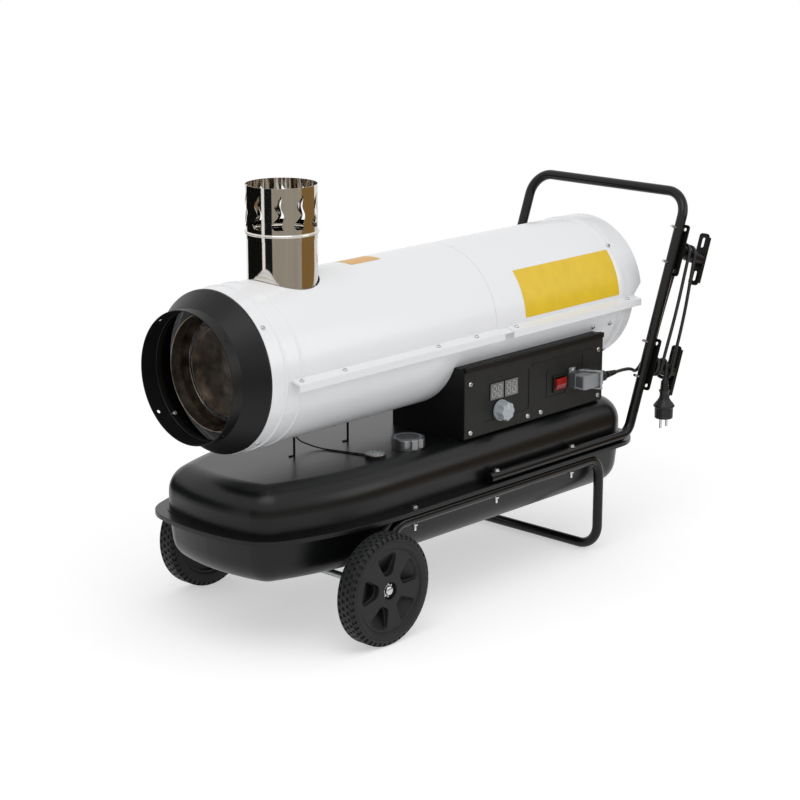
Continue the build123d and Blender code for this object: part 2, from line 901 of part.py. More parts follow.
def make_tank():
    under = tank_flange_top - tank_sheet
    dome = extrude(tank_outline(tank_flange, under), amount=tank_top - under)
    dome = fillet(dome.edges().group_by(Axis.Z)[-1], tank_top_round)
    inner = extrude(tank_outline(tank_flange + tank_sheet, under - overrun),
                    amount=tank_top - tank_sheet - under + overrun)
    inner = fillet(inner.edges().group_by(Axis.Z)[-1], tank_top_round - tank_sheet)
    flange = extrude(tank_outline(0, under), amount=tank_sheet)
    bead = extrude(tank_outline(tank_flange - 2 * tank_bead, under),
                   amount=tank_sheet + tank_bead)
    rim = extrude(tank_outline(0, tank_flange_top - tank_lip), amount=tank_lip)
    rim -= extrude(tank_outline(tank_sheet, tank_flange_top - tank_lip - overrun),
                   amount=tank_lip + 2 * overrun)
    flange = fillet((flange + rim).faces().sort_by(Axis.Z)[-1].outer_wire().edges(),
                    tank_sheet / 2)
    upper = flange + bead + dome - inner
    upper -= flange_bolt_holes()
    upper -= rod((filler_x, filler_y, under), (filler_x, filler_y, tank_top + overrun),
                 filler_radius + slip)
    upper -= rod((pickup_x, pickup_y, under), (pickup_x, pickup_y, tank_top + overrun),
                 pickup_radius / 2 + slip)
    nodes["tank_upper"] = upper

    pan = extrude(tank_outline(tank_flange, under), amount=-(under - tank_bottom),
                  taper=tank_draft)
    pan = fillet(pan.edges().group_by(Axis.Z)[0], tank_bottom_round)
    hollow = extrude(tank_outline(tank_flange + tank_sheet, under),
                     amount=-(under - tank_bottom - tank_sheet), taper=tank_draft)
    hollow = fillet(hollow.edges().group_by(Axis.Z)[0], tank_bottom_round - tank_sheet)
    tray = extrude(tank_outline(tank_sheet + touch, under), amount=-tank_sheet)
    lower = pan + tray - hollow
    lower -= flange_bolt_holes()
    lower -= rod((drain_x, 0, tank_bottom - overrun), (drain_x, 0, tank_bottom + overrun),
                 drain_radius / 2 + slip)
    nodes["tank_lower"] = lower

    plug = rod((drain_x, 0, tank_bottom - drain_height), (drain_x, 0, tank_bottom - slip),
               drain_radius)
    plug &= Pos(drain_x, 0, tank_bottom) * extrude(
        RegularPolygon(drain_radius, 6), amount=drain_height, both=True
    )
    plug += rod((drain_x, 0, tank_bottom - drain_height / 2),
                (drain_x, 0, tank_bottom + tank_sheet + drain_height / 2), drain_radius / 2)
    nodes["drain_plug"] = plug


def make_filler():
    base = (filler_x, filler_y)
    neck_top = tank_top + filler_rise
    neck = rod((*base, tank_top - filler_drop), (*base, neck_top), filler_radius,
               filler_radius - filler_sheet)
    neck += rod((*base, tank_top), (*base, tank_top + filler_sheet),
                filler_radius + gasket_width, filler_radius - filler_sheet / 2)
    ledge = filler_radius - 2 * filler_sheet
    neck += rod((*base, tank_top - filler_drop), (*base, tank_top - filler_drop + filler_sheet),
                filler_radius - filler_sheet / 2, ledge)
    nodes["filler_neck"] = neck

    basket_top = tank_top - filler_drop + filler_sheet + slip
    basket_radius = ledge - touch
    basket = rod((*base, basket_top - strainer_depth), (*base, basket_top + filler_sheet),
                 basket_radius)
    basket -= rod((*base, basket_top - strainer_depth + filler_sheet),
                  (*base, basket_top + overrun), basket_radius - filler_sheet)
    basket += rod((*base, basket_top), (*base, basket_top + filler_sheet),
                  filler_radius - filler_sheet - touch, basket_radius - filler_sheet / 2)
    nodes["filler_strainer"] = basket

    seat = neck_top + slip
    gasket = rod((*base, seat), (*base, seat + gasket_height), filler_radius,
                 filler_radius - gasket_width)
    nodes["cap_gasket"] = gasket

    cap_low = seat + gasket_height + slip + cap_top_sheet - cap_height
    cap = Pos(*base, cap_low + cap_height / 2) * Cylinder(cap_radius, cap_height)
    cap = chamfer(cap.edges().sort_by(Axis.Z)[-1], cap_top_sheet / 2)
    for index in range(cap_lobes):
        turn = math.radians(index * 360 / cap_lobes)
        out = cap_radius + cap_lobe_radius - cap_lobe_cut
        notch = rod(
            (filler_x + out * math.cos(turn), filler_y + out * math.sin(turn), cap_low - overrun),
            (filler_x + out * math.cos(turn), filler_y + out * math.sin(turn),
             cap_low + cap_height + overrun),
            cap_lobe_radius,
        )
        cap -= notch
    cap -= rod((*base, cap_low - overrun), (*base, cap_low + cap_height - cap_top_sheet),
               filler_radius + slip)
    cap -= rod((*base, cap_low - overrun), (*base, tank_top + filler_sheet + touch),
               filler_radius + gasket_width + touch)
    nodes["filler_cap"] = cap


def make_gauge():
    base = (gauge_x, gauge_y)
    floor = tank_top + slip
    bezel = rod((*base, floor), (*base, floor + gauge_height), gauge_radius)
    bezel = chamfer(bezel.edges().sort_by(Axis.Z)[-1], gauge_dial_sheet)
    window = gauge_radius - gauge_bezel
    bezel -= rod((*base, floor + gauge_dial_sheet), (*base, floor + gauge_height + overrun),
                 window)
    dial = floor + gauge_dial_sheet
    bezel += rod((*base, floor), (*base, dial + gauge_height / 2), gauge_needle_width / 2)
    nodes["gauge_bezel"] = bezel

    needle_low = dial + touch
    boss = rod((*base, needle_low), (*base, needle_low + gauge_dial_sheet), gauge_needle_width * 2)
    arm = block(
        (gauge_x, gauge_y - gauge_needle_width / 2, needle_low),
        (gauge_x + gauge_needle_length, gauge_y + gauge_needle_width / 2,
         needle_low + gauge_dial_sheet),
    )
    needle = boss + arm
    needle -= rod((*base, needle_low - overrun), (*base, needle_low + overrun),
                  gauge_needle_width / 2 + slip)
    nodes["gauge_needle"] = needle

    lens_low = floor + gauge_height - gauge_lens_sheet
    lens = rod((*base, lens_low), (*base, lens_low + gauge_lens_sheet), window - slip)
    nodes["gauge_lens"] = lens


def wire_points():
    """From the gauge's rim over the tank, then up into the barrel."""
    level = tank_top + gauge_wire_radius + slip
    centre = Vector(gauge_x, gauge_y, level)
    turn = Vector(*gauge_wire_turn, level)
    start = centre + (turn - centre).normalized() * (gauge_radius + touch)
    x, y = gauge_wire_end
    top = body_height - math.sqrt(body_radius ** 2 - y ** 2) + body_sheet / 2
    return [tuple(start), tuple(turn), gauge_wire_rise, (x, y, top)]


def wire_path_hole():
    x, y, z = wire_points()[-1]
    return [rod((x, y, z - overrun), (x, y, z + 2 * overrun), 2 * gauge_wire_radius)]


def make_gauge_wire():
    points = wire_points()
    nodes["gauge_wire"] = bent_tube(points, easy_radii(points), gauge_wire_radius)


# Foot frame, axle and wheels

def make_frame():
    inner = frame_tube - frame_wall
    points = [
        (axle_x, -frame_half, axle_height),
        (frame_nose_x, -frame_half, frame_height),
        (frame_leg_x, -frame_half, frame_height),
        (frame_leg_x, -frame_half, frame_floor),
        (frame_leg_x, frame_half, frame_floor),
        (frame_leg_x, frame_half, frame_height),
        (frame_nose_x, frame_half, frame_height),
        (axle_x, frame_half, axle_height),
    ]
    radii = [frame_bend, frame_bend, frame_corner, frame_corner, frame_bend, frame_bend]
    frame = bent_tube(points, radii, frame_tube, inner)
    for side in (-1, 1):
        start = side * frame_half - axle_boss_length / 2
        frame += rod((axle_x, start, axle_height), (axle_x, start + axle_boss_length, axle_height),
                     axle_boss)
    frame -= rod((axle_x, -wheel_inner, axle_height), (axle_x, wheel_inner, axle_height),
                 axle_radius + slip)
    frame -= flange_bolt_holes()
    nodes["foot_frame"] = frame

    reach = wheel_inner + wheel_width - rim_face_inset - wheel_cap_depth / 2
    axle = rod((axle_x, -reach, axle_height), (axle_x, reach, axle_height), axle_radius)
    nodes["axle"] = axle


def wheel_plane(side):
    return Plane(origin=(axle_x, side * wheel_inner, axle_height), x_dir=(1, 0, 0),
                 z_dir=(0, side, 0))


def turned_up(points):
    """A solid of revolution about Z, from (radius, height) corners."""
    outline = Polyline([(r, 0, z) for r, z in points], close=True)
    return revolve(make_face(outline), axis=Axis.Z)


def make_wheel(side, name):
    tyre = turned_up([
        (rim_radius, rim_face_inset),
        (rim_radius + wheel_crown, 0),
        (wheel_radius - 2 * wheel_crown, 0),
        (wheel_radius - wheel_crown / 2, wheel_crown / 2),
        (wheel_radius, wheel_crown),
        (wheel_radius, wheel_width - wheel_crown),
        (wheel_radius - wheel_crown / 2, wheel_width - wheel_crown / 2),
        (wheel_radius - 2 * wheel_crown, wheel_width),
        (rim_radius + wheel_crown, wheel_width),
        (rim_radius, wheel_width - rim_face_inset),
    ])
    notches = []
    for index in range(tread_blocks):
        turn = index * 360 / tread_blocks
        for end in (0, 1):
            angle = turn + end * 180 / tread_blocks
            middle = tread_side / 2 if end == 0 else wheel_width - tread_side / 2
            box = Pos(wheel_radius, 0, middle) * Box(2 * tread_depth, tread_notch, tread_side)
            notches.append(Rot(0, 0, angle) * box)
    tyre -= notches
    nodes["tyre_" + name] = wheel_plane(side) * tyre

    face = wheel_width - rim_face_inset
    back = rim_face_inset / 2
    rim = turned_up([
        (axle_radius + slip, back),
        (rim_hub_radius, back),
        (rim_hub_radius, rim_face_inset + rim_web),
        (rim_radius - touch - rim_web, rim_face_inset + rim_web),
        (rim_radius - touch - rim_web, rim_face_inset),
        (rim_radius - touch / 2, rim_face_inset),
        (rim_radius - touch / 2, face),
        (wheel_cap_radius + 3 * touch, face),
        (wheel_cap_radius + 3 * touch, face - wheel_cap_depth),
        (axle_radius + slip, face - wheel_cap_depth),
    ])
    window = make_face(Polyline(
        (rim_window_low, -rim_window_low_half, face),
        (rim_window_high, -rim_window_high_half, face),
        (rim_window_high, rim_window_high_half, face),
        (rim_window_low, rim_window_low_half, face),
        close=True,
    ))
    window = fillet(window.vertices(), rim_window_round)
    pocket = extrude(window, amount=-rim_window_depth, dir=(0, 0, 1))
    rim -= [
        Rot(0, 0, rim_window_start * -side + index * 360 / rim_windows) * pocket
        for index in range(rim_windows)
    ]
    nodes["rim_" + name] = wheel_plane(side) * rim


def make_axle_fittings():
    """On each side a sleeve between frame and wheel, and a push-on cap outside the wheel."""
    fittings = []
    axle_end = wheel_width - rim_face_inset - wheel_cap_depth / 2
    low = wheel_width - rim_face_inset - wheel_cap_depth + touch
    high = axle_end + 2 * wheel_cap_sheet
    for side in (-1, 1):
        cap = turned_up([
            (axle_radius + slip, low),
            (wheel_cap_radius, low),
            (wheel_cap_radius, axle_end),
            (wheel_cap_radius - wheel_cap_sheet, high),
            (0, high),
            (0, axle_end + slip),
            (axle_radius + slip, axle_end + slip),
        ])
        fittings.append(wheel_plane(side) * cap)
        near = frame_half + axle_boss_length / 2 + touch
        far = wheel_inner + rim_face_inset / 2 - touch
        fittings.append(rod((axle_x, side * near, axle_height), (axle_x, side * far, axle_height),
                            spacer_radius, axle_radius + slip))
    nodes["axle_fittings"] = group(fittings)


# Push handle

def handle_level():
    return tank_flange_top + handle_tube


def handle_way():
    return Vector(handle_top_x - handle_foot_x, 0, handle_top - handle_level()).normalized()


def make_handle():
    level = handle_level()
    near = [
        (handle_front, -handle_half, level),
        (handle_foot_x, -handle_half, level),
        (handle_top_x, -handle_half, handle_top),
    ]
    far = [(x, -y, z) for x, y, z in near[::-1]]
    radii = [handle_bend, handle_corner, handle_corner, handle_bend]
    handle = bent_tube(near + far, radii, handle_tube, handle_tube - handle_wall)
    for side in (-1, 1):
        handle += rod((handle_front, side * handle_half, level),
                      (handle_front + handle_wall, side * handle_half, level),
                      handle_tube - handle_wall / 2)
    handle -= flange_bolt_holes()
    handle -= [
        winder_plane(height) * Pos(t, 0, 0) * Cylinder(winder_bolt_radius + slip, 4 * handle_tube)
        for height in winder_places
        for t in winder_bolt_places
    ]
    nodes["handle"] = handle


def make_flange_bolts():
    bolts = []
    nuts = []
    pads = []
    flange_under = tank_flange_top - 2 * tank_sheet
    for x in flange_bolt_places:
        for side in (-1, 1):
            y = side * frame_half
            on_handle = x > handle_front
            seat = tank_flange_top + (2 * handle_tube if on_handle else 0)
            low = frame_height - frame_tube - bolt_nut_height - bolt_stub
            bolt = screw(Plane((x, y, seat)), bolt_head_radius, bolt_head_height,
                         flange_bolt_radius, seat - low)
            bolts.append(bolt)
            nut_low = frame_height - frame_tube - bolt_nut_height
            nut = Pos(x, y, nut_low) * extrude(
                RegularPolygon(bolt_nut_radius, 6) - Circle(flange_bolt_radius + slip),
                amount=bolt_nut_height,
            )
            nuts.append(nut)
            pad = rod((x, y, frame_height + frame_tube), (x, y, flange_under),
                      pad_radius, flange_bolt_radius + slip)
            pads.append(pad)
    nodes["flange_bolts"] = group(bolts + nuts)
    nodes["flange_pads"] = group(pads)


# Control box, its panel and what is on the panel

def box_section(inset):
    """The box's section: panel side, floor on the tank, and the saddle under the body."""
    radius = body_radius + touch + inset
    face = -box_face + inset
    inner = -box_inner - inset
    high = box_top - inset
    low = tank_top + inset
    start = (-math.sqrt(radius ** 2 - (high - body_height) ** 2), high)
    end = (inner, body_height - math.sqrt(radius ** 2 - inner ** 2))
    sweep_mid = (math.atan2(high - body_height, start[0]) % (2 * math.pi)
                 + math.atan2(end[1] - body_height, inner) % (2 * math.pi)) / 2
    mid = (radius * math.cos(sweep_mid), body_height + radius * math.sin(sweep_mid))
    x = box_front
    edges = [
        Line((x, *end), (x, inner, low)),
        Line((x, inner, low), (x, face, low)),
        Line((x, face, low), (x, face, high)),
        Line((x, face, high), (x, *start)),
        ThreePointArc((x, *start), (x, *mid), (x, *end)),
    ]
    return make_face(edges)


def make_box():
    length = box_rear - box_front
    box = extrude(box_section(0), amount=length, dir=(1, 0, 0))
    hollow = extrude(box_section(box_sheet), amount=length - 2 * box_sheet, dir=(1, 0, 0))
    box -= Pos(box_sheet, 0, 0) * hollow
    window = block(
        (box_front + box_sheet + panel_screw_inset, -box_face - overrun, panel_low + box_sheet),
        (box_rear - box_sheet - panel_screw_inset, -box_face + 2 * box_sheet,
         panel_high - box_sheet),
    )
    box -= window
    roof_low = box_top - box_sheet
    box += block((box_front, -box_face - box_overhang, roof_low),
                 (box_rear, -box_face + box_sheet, box_top))
    box += block((box_front, -box_face - box_overhang, box_top - box_lip_drop),
                 (box_rear, -box_face - box_overhang + box_sheet, box_top))
    for share in (0.0, 0.55):
        y = -box_face - box_overhang + share * (box_overhang + 3 * box_ridge)
        box += block((box_front, y, box_top - box_sheet / 2),
                     (box_rear, y + 1.5 * box_ridge, box_top + box_ridge))
    box -= rod((pickup_x, pickup_y, tank_top - overrun), (pickup_x, pickup_y, tank_top + overrun),
               pickup_radius + touch)
    box -= fuel_hose_hole()
    box -= panel_screw_holes()
    nodes["control_box"] = box


def panel_screw_spots():
    left = box_front + panel_screw_inset
    right = box_rear - panel_screw_inset
    corners = [(x, z) for x in (left, right) for z in (panel_screw_low, panel_screw_high)]
    return corners + [(x, panel_screw_low) for x in panel_middle_screws]


def panel_screw_holes():
    return [
        rod((x, -box_face - 2 * overrun, z), (x, -box_face + overrun, z), seam_shank + slip)
        for x, z in panel_screw_spots()
    ]


def panel_area(left, right, low, high, depth, face):
    """A rounded rectangle on the panel, pushed in from its face."""
    width = right - left
    height = high - low
    sketch = RectangleRounded(width, height, panel_recess_round)
    plane = Plane(origin=((left + right) / 2, face, (low + high) / 2), x_dir=(1, 0, 0),
                  z_dir=(0, -1, 0))
    return extrude(plane * sketch, amount=depth)


def make_panel():
    back = -box_face - touch / 3
    face = back - panel_sheet
    panel = block((box_front, face, panel_low), (box_rear, back, panel_high))
    panel -= panel_area(panel_recess_left, panel_recess_right, panel_recess_low,
                        panel_recess_high, overrun, face + panel_recess)
    frame = panel_area(panel_frame_left, panel_frame_right, panel_frame_low, panel_frame_high,
                       panel_recess, face)
    frame -= panel_area(panel_frame_left + panel_frame_width,
                        panel_frame_right - panel_frame_width,
                        panel_frame_low + panel_frame_width,
                        panel_frame_high - panel_frame_width, 2 * panel_recess, face)
    panel += frame
    rib_low = panel_rib_high - panel_rib_width
    panel += block((panel_rib_left, face - panel_recess, rib_low),
                   (panel_rib_right, face + panel_recess, panel_rib_high))
    panel += block((panel_rib_drop_x, face - panel_recess, panel_rib_drop_low),
                   (panel_rib_drop_x + panel_rib_width, face + panel_recess, rib_low))
    for x in display_places:
        panel -= block((x - display_width / 2 + display_frame - slip, face - overrun,
                        display_low + display_frame - slip),
                       (x + display_width / 2 - display_frame + slip, back + overrun,
                        display_high - display_frame + slip))
    panel -= rod((knob_x, face - overrun, knob_z), (knob_x, back + overrun, knob_z),
                 knob_shaft + 2 * touch)
    panel -= block(
        (switch_x - switch_width / 2 + switch_wall / 2 - slip, face - overrun,
         switch_z - switch_height / 2 + switch_wall / 2 - slip),
        (switch_x + switch_width / 2 - switch_wall / 2 + slip, back + overrun,
         switch_z + switch_height / 2 - switch_wall / 2 + slip),
    )
    panel -= panel_screw_holes()
    nodes["control_panel"] = panel


def panel_face():
    return -box_face - touch / 3 - panel_sheet


def make_displays():
    face = panel_face() + panel_recess
    frames = []
    windows = []
    for x in display_places:
        left = x - display_width / 2
        right = x + display_width / 2
        frame = block((left, face - display_rise, display_low), (right, face - slip, display_high))
        frame += block(
            (left + display_frame, face - slip, display_low + display_frame),
            (right - display_frame, face + display_depth, display_high - display_frame),
        )
        frame -= block(
            (left + 2 * display_frame, face - display_rise - overrun,
             display_low + 2 * display_frame),
            (right - 2 * display_frame, face + display_rise, display_high - 2 * display_frame),
        )
        frames.append(frame)
        windows.append(block(
            (left + 2 * display_frame + slip, face - display_rise / 2,
             display_low + 2 * display_frame + slip),
            (right - 2 * display_frame - slip, face + display_rise - slip,
             display_high - 2 * display_frame - slip),
        ))
    nodes["display_frames"] = group(frames)
    nodes["display_windows"] = group(windows)


def make_knob():
    face = panel_face() - 2 * touch
    start = (knob_x, face, knob_z)
    skirt_end = face - knob_length / 5
    grip = Plane(origin=(knob_x, skirt_end, knob_z), x_dir=(1, 0, 0), z_dir=(0, -1, 0))
    knob = extrude(grip * Circle(knob_radius), amount=knob_length * 4 / 5)
    knob = chamfer(knob.edges().sort_by(Axis.Y)[0], knob_shaft / 2)
    for index in range(knob_lobes):
        turn = math.radians((index + 0.5) * 360 / knob_lobes)
        out = knob_radius + knob_radius / 3
        x = knob_x + out * math.cos(turn)
        z = knob_z + out * math.sin(turn)
        knob -= rod((x, skirt_end - slip, z), (x, face - 2 * knob_length, z), knob_radius / 2)
    knob += rod(start, (knob_x, skirt_end, knob_z), knob_skirt)
    stat_front = -box_face + box_sheet
    knob += rod(start, (knob_x, stat_front + stat_depth / 2, knob_z), knob_shaft)
    nodes["thermostat_knob"] = knob

    body = rod((knob_x, -box_face + slip, knob_z), (knob_x, -box_face + stat_depth, knob_z),
               stat_radius)
    body -= rod((knob_x, -box_face - overrun, knob_z),
                (knob_x, stat_front + stat_depth / 2 + touch, knob_z), knob_shaft + slip)
    nodes["thermostat_body"] = body


def make_switch():
    face = panel_face() - slip
    half_x = switch_width / 2
    half_z = switch_height / 2
    bezel = block((switch_x - half_x, face - switch_bezel_rise, switch_z - half_z),
                  (switch_x + half_x, face, switch_z + half_z))
    bezel += block(
        (switch_x - half_x + switch_wall / 2, face - switch_wall, switch_z - half_z + switch_wall / 2),
        (switch_x + half_x - switch_wall / 2, face + switch_body_depth,
         switch_z + half_z - switch_wall / 2),
    )
    bezel -= block(
        (switch_x - half_x + switch_wall + 1.5 * rocker_pin, face - overrun,
         switch_z - half_z + switch_wall),
        (switch_x + half_x - switch_wall - 1.5 * rocker_pin, face + switch_body_depth / 2,
         switch_z + half_z - switch_wall),
    )
    pin_reach = half_x - switch_wall
    bezel -= rod((switch_x - pin_reach, face, switch_z), (switch_x + pin_reach, face, switch_z),
                 rocker_pin + slip)
    nodes["switch_bezel"] = bezel

    inside = half_x - switch_wall - 1.5 * rocker_pin - touch
    points = [
        (-rocker_tip, rocker_half),
        (-rocker_nose, 0),
        (-rocker_tip, -rocker_half),
        (rocker_back, -rocker_half + rocker_back),
        (rocker_back, rocker_half - rocker_back),
    ]
    rocker = beside([(y, z) for y, z in points], -inside, inside)
    rocker += rod((-pin_reach + slip, 0, 0), (pin_reach - slip, 0, 0), rocker_pin)
    nodes["switch_rocker"] = Pos(switch_x, face, switch_z) * Rot(rocker_tilt, 0, 0) * rocker


def make_connector():
    face = panel_face() - slip
    base = block((plug_in_left, face - plug_in_base, plug_in_low),
                 (plug_in_right, face, plug_in_high))
    base = chamfer(base.edges().filter_by(Axis.Y), plug_in_round / 3)
    for z in (plug_in_low, plug_in_high):
        out = 1 if z == plug_in_high else -1
        base += rod((latch_x, face - latch_out, z - out * overrun),
                    (latch_x, face - latch_out, z + out * (latch_arm + 3 * slip)), latch_pin)
    nodes["connector_base"] = base

    inset = plug_in_hood_inset
    hood_back = face - plug_in_base - slip
    hood_front = face - plug_in_depth
    hood = block((plug_in_left + inset, hood_front, plug_in_low + inset),
                 (plug_in_right - inset, hood_back, plug_in_high - inset))
    hood = chamfer(hood.edges().filter_by(Axis.Z).group_by(Axis.Y)[0], plug_in_round / 2)
    collar_start = plug_in_right - inset
    hood += block((collar_start, hood_front, plug_in_low + 2 * inset),
                  (collar_start + plug_in_collar, hood_back - inset, plug_in_high - 2 * inset))
    nodes["connector_hood"] = hood

    mouth = gland_mouth()
    root = mouth - Vector(gland_length, 0, 0)
    gland = rod(root, mouth, gland_radius)
    nut = Plane(origin=root, z_dir=(1, 0, 0)) * RegularPolygon(gland_radius + inset, 6)
    gland += extrude(nut, amount=gland_length / 2)
    nodes["cable_gland"] = gland

    arms = []
    pivot_y = face - latch_out
    bar = (latch_x + latch_bar_x, pivot_y - latch_bar_out)
    way = Vector(latch_bar_x, -latch_bar_out, 0)
    for z, out in ((plug_in_low, -1), (plug_in_high, 1)):
        low = z + out * slip if out > 0 else z - slip - latch_arm
        plane = Plane(origin=(latch_x, pivot_y, low), x_dir=way, z_dir=(0, 0, 1))
        arm = Pos(way.length / 2, 0, 0) * SlotCenterToCenter(way.length, latch_width)
        arm = arm - Circle(latch_pin + slip)
        arms.append(extrude(plane * arm, amount=latch_arm))
    lever = arms[0] + arms[1] + rod(
        (*bar, plug_in_low - slip - latch_arm / 2), (*bar, plug_in_high + slip + latch_arm / 2),
        latch_bar,
    )
    nodes["latch_lever"] = lever


def make_electrics():
    back = -box_face + box_sheet + switch_body_depth + board_standoff
    low = tank_top + 3 * board_standoff
    board = block((board_x - board_length / 2, back, low),
                  (board_x + board_length / 2, back + board_sheet, low + board_height))
    for x in (board_x - board_length / 3, board_x + board_length / 3):
        board += rod((x, back + board_sheet / 2, low), (x, back + board_sheet / 2,
                     tank_top + box_sheet + slip), board_sheet)
    nodes["circuit_board"] = board


# Fuel line from the tank to the pump, and on to the nozzle

def fuel_hose_hole():
    return [rod((pickup_x, pickup_y, tank_top + overrun), (pickup_x, pickup_y, body_height - body_radius
                + 3 * overrun), hose_radius + 2 * touch)]


def make_fuel_line():
    disc_low = tank_top + slip
    disc = rod((pickup_x, pickup_y, disc_low), (pickup_x, pickup_y, disc_low + hose_radius), pickup_radius)
    disc += rod((pickup_x, pickup_y, tank_bottom + 4 * hose_radius), (pickup_x, pickup_y, disc_low),
                hose_radius)
    disc += rod((pickup_x, pickup_y, disc_low), (pickup_x, pickup_y, disc_low + 4 * hose_radius),
                hose_radius)

    start = disc_low + 4 * hose_radius
    port = body_height - pump_radius - slip
    pump_x = motor_front_x - touch - pump_length / 2
    points = [
        (pickup_x, pickup_y, start),
        (pickup_x, pickup_y, body_height - body_radius + 12 * hose_radius),
        (pump_x, 0, body_height - pump_radius - 8 * hose_radius),
        (pump_x, 0, port),
    ]
    hose = bent_tube(points, 4 * hose_radius, hose_radius)
    nodes["fuel_line"] = group([disc, hose])


# Strips that carry the front of the body

def make_strips():
    strips = []
    low = tank_top + slip
    high = body_height - body_radius - slip
    for x in strip_places:
        foot = block((x - strip_foot, -strip_width / 2, low),
                     (x + strip_sheet / 2, strip_width / 2, low + strip_sheet))
        post = block((x - strip_sheet / 2, -strip_width / 2, low),
                     (x + strip_sheet / 2, strip_width / 2, high))
        strips.append(foot + post)
    nodes["front_supports"] = group(strips)


# Cord winders, on the rear of the near handle tube

def winder_plane(height):
    """Local x runs up the tube, local y towards the panel side, local z away from the tube."""
    way = handle_way()
    along = (height - handle_level()) / way.Z
    foot = Vector(handle_foot_x, -handle_half, handle_level())
    return Plane(origin=foot + way * along, x_dir=way, z_dir=(way.Z, 0, -way.X))


def make_winders():
    winders = []
    bolts = []
    base_end = handle_tube + slip + winder_plate_sheet
    spool_end = base_end + spool_length
    for height in winder_places:
        plane = winder_plane(height)
        plate = RectangleRounded(2 * winder_plate_half, winder_plate_width, winder_round)
        hole_at = winder_plate_half - winder_hole_inset
        side = winder_plate_width / 2 - winder_hole_inset
        for t in (-hole_at, hole_at):
            plate -= Pos(t, side) * Circle(winder_hole)
        for t in winder_bolt_places:
            plate -= Pos(t, 0) * Circle(winder_bolt_radius + slip)
        base = extrude(plate, amount=winder_plate_sheet)
        tube = Circle(spool_radius) - Circle(spool_radius - spool_wall)
        winder = Pos(0, 0, handle_tube + slip) * base
        winder += Pos(0, 0, base_end) * extrude(tube, amount=spool_length)
        web = RectangleRounded(2 * end_bar_half, end_bar_width, winder_round)
        slot_at = end_bar_half - end_bar_slot_inset - end_bar_slot / 2
        for t in (-slot_at, slot_at):
            web -= Pos(t, 0) * SlotOverall(end_bar_slot, end_bar_slot_width)
        bar = extrude(web, amount=end_bar_sheet)
        for edge in (-1, 1):
            y = edge * (end_bar_width - end_bar_sheet) / 2
            lip_half = end_bar_half - winder_round
            bar += Pos(0, y, end_bar_lip / 2) * Box(2 * lip_half, end_bar_sheet, end_bar_lip)
        winder += Pos(0, 0, spool_end) * bar
        winders.append(plane * winder)
        for t in winder_bolt_places:
            seat = plane * Pos(t, 0, base_end + slip)
            length = base_end + slip + handle_tube + winder_bolt_tip
            bolt = screw(Plane.XY, winder_bolt_head, winder_bolt_head_height,
                         winder_bolt_radius, length)
            bolts.append(seat * bolt)
    nodes["cord_winders"] = group(winders)
    nodes["winder_bolts"] = group(bolts)


# Mains cord: lead, winding, tail and plug

def winding_corners():
    """Corners of the winding as (along the tube, out, along the spool), from the inner side."""
    reach = spool_radius + cord_radius + cord_gap
    span = (winder_places[1] - winder_places[0]) / handle_way().Z
    start = handle_tube + slip + winder_plate_sheet
    step = wrap_pitch / 4
    first = start + wrap_start_share * spool_length
    entry_out = winder_plate_width / 2 + cord_radius + entry_gap
    entry_in = start + cord_radius + exit_gap
    corners = [(-reach - entry_below, -entry_out, entry_in)]
    around = ((reach, -reach), (reach, reach), (-reach, reach), (-reach, -reach))
    for count in range(4 * lower_wraps):
        along, out = around[count % 4]
        corners.append((along, out, first + count * step))
    corners[-1] = (-reach, -reach, first + (4 * lower_wraps + 1) * step)
    low_first = start + tall_low_share * spool_length
    low_last = start + tall_low_last_share * spool_length
    low_step = (low_last - low_first) / (tall_loops - 1)
    for loop in range(tall_loops):
        top = start + tall_top_share * spool_length + loop * tall_top_pitch
        low = low_first + loop * low_step
        back = step if loop < tall_loops - 1 else -step
        corners.append((span + reach, -reach, top))
        corners.append((span + reach, reach, top + step))
        corners.append((-reach, reach, low))
        corners.append((-reach, -reach, low + back))
    last = start + last_wrap_share * spool_length
    corners.append((reach, -reach, low_last - (low_last - last) / 3))
    corners.append((reach + exit_gap, reach + exit_gap, last))
    return corners


def winding_points():
    plane = winder_plane(winder_places[0])
    return [plane.from_local_coords(Vector(t, y, s)) for t, y, s in winding_corners()]


def least_self_gap(path, diameter):
    """The smallest clear space between parts of one cord that aren't next to each other."""
    length = path.length
    count = int(length / cord_radius)
    samples = [path.position_at(index / count) for index in range(count + 1)]
    apart = int(3 * diameter / (length / count))
    least = length
    for first in range(count + 1):
        for second in range(first + apart, count + 1):
            least = min(least, (samples[first] - samples[second]).length)
    return least - diameter


def easy_radii(points):
    """Each bend's radius is 0.45 of its shorter run, over the tangent of half the turn."""
    radii = []
    for before, corner, after in zip(points, points[1:], points[2:]):
        into = Vector(*corner) - Vector(*before)
        away = Vector(*after) - Vector(*corner)
        shorter = min(into.length, away.length)
        half_turn = math.radians(into.get_angle(away)) / 2
        radii.append(0.45 * shorter / math.tan(half_turn))
    return radii


def cord_tube(name, points, radii):
    """One stretch of cord: straight runs joined by arcs, with its measures printed."""
    path = FilletPolyline(*points, radius=radii)
    run = Vector(*points[1]) - Vector(*points[0])
    tube = sweep(Plane(origin=points[0], z_dir=run) * Circle(cord_radius), path=path)
    print(name, "length", round(path.length, 1), "radii", [round(radius, 1) for radius in radii])
    section = math.pi * cord_radius ** 2
    print(name, "volume", round(tube.volume), "section by length", round(section * path.length))
    nodes[name] = tube
    return path


def gland_mouth():
    """The face of the gland that the cord comes out of."""
    hood_front = panel_face() - slip - plug_in_depth
    hood_back = panel_face() - slip - plug_in_base - slip
    y = (hood_front + hood_back - plug_in_hood_inset) / 2
    x = plug_in_right - plug_in_hood_inset + plug_in_collar + slip + gland_length
    return Vector(x, y, gland_z)


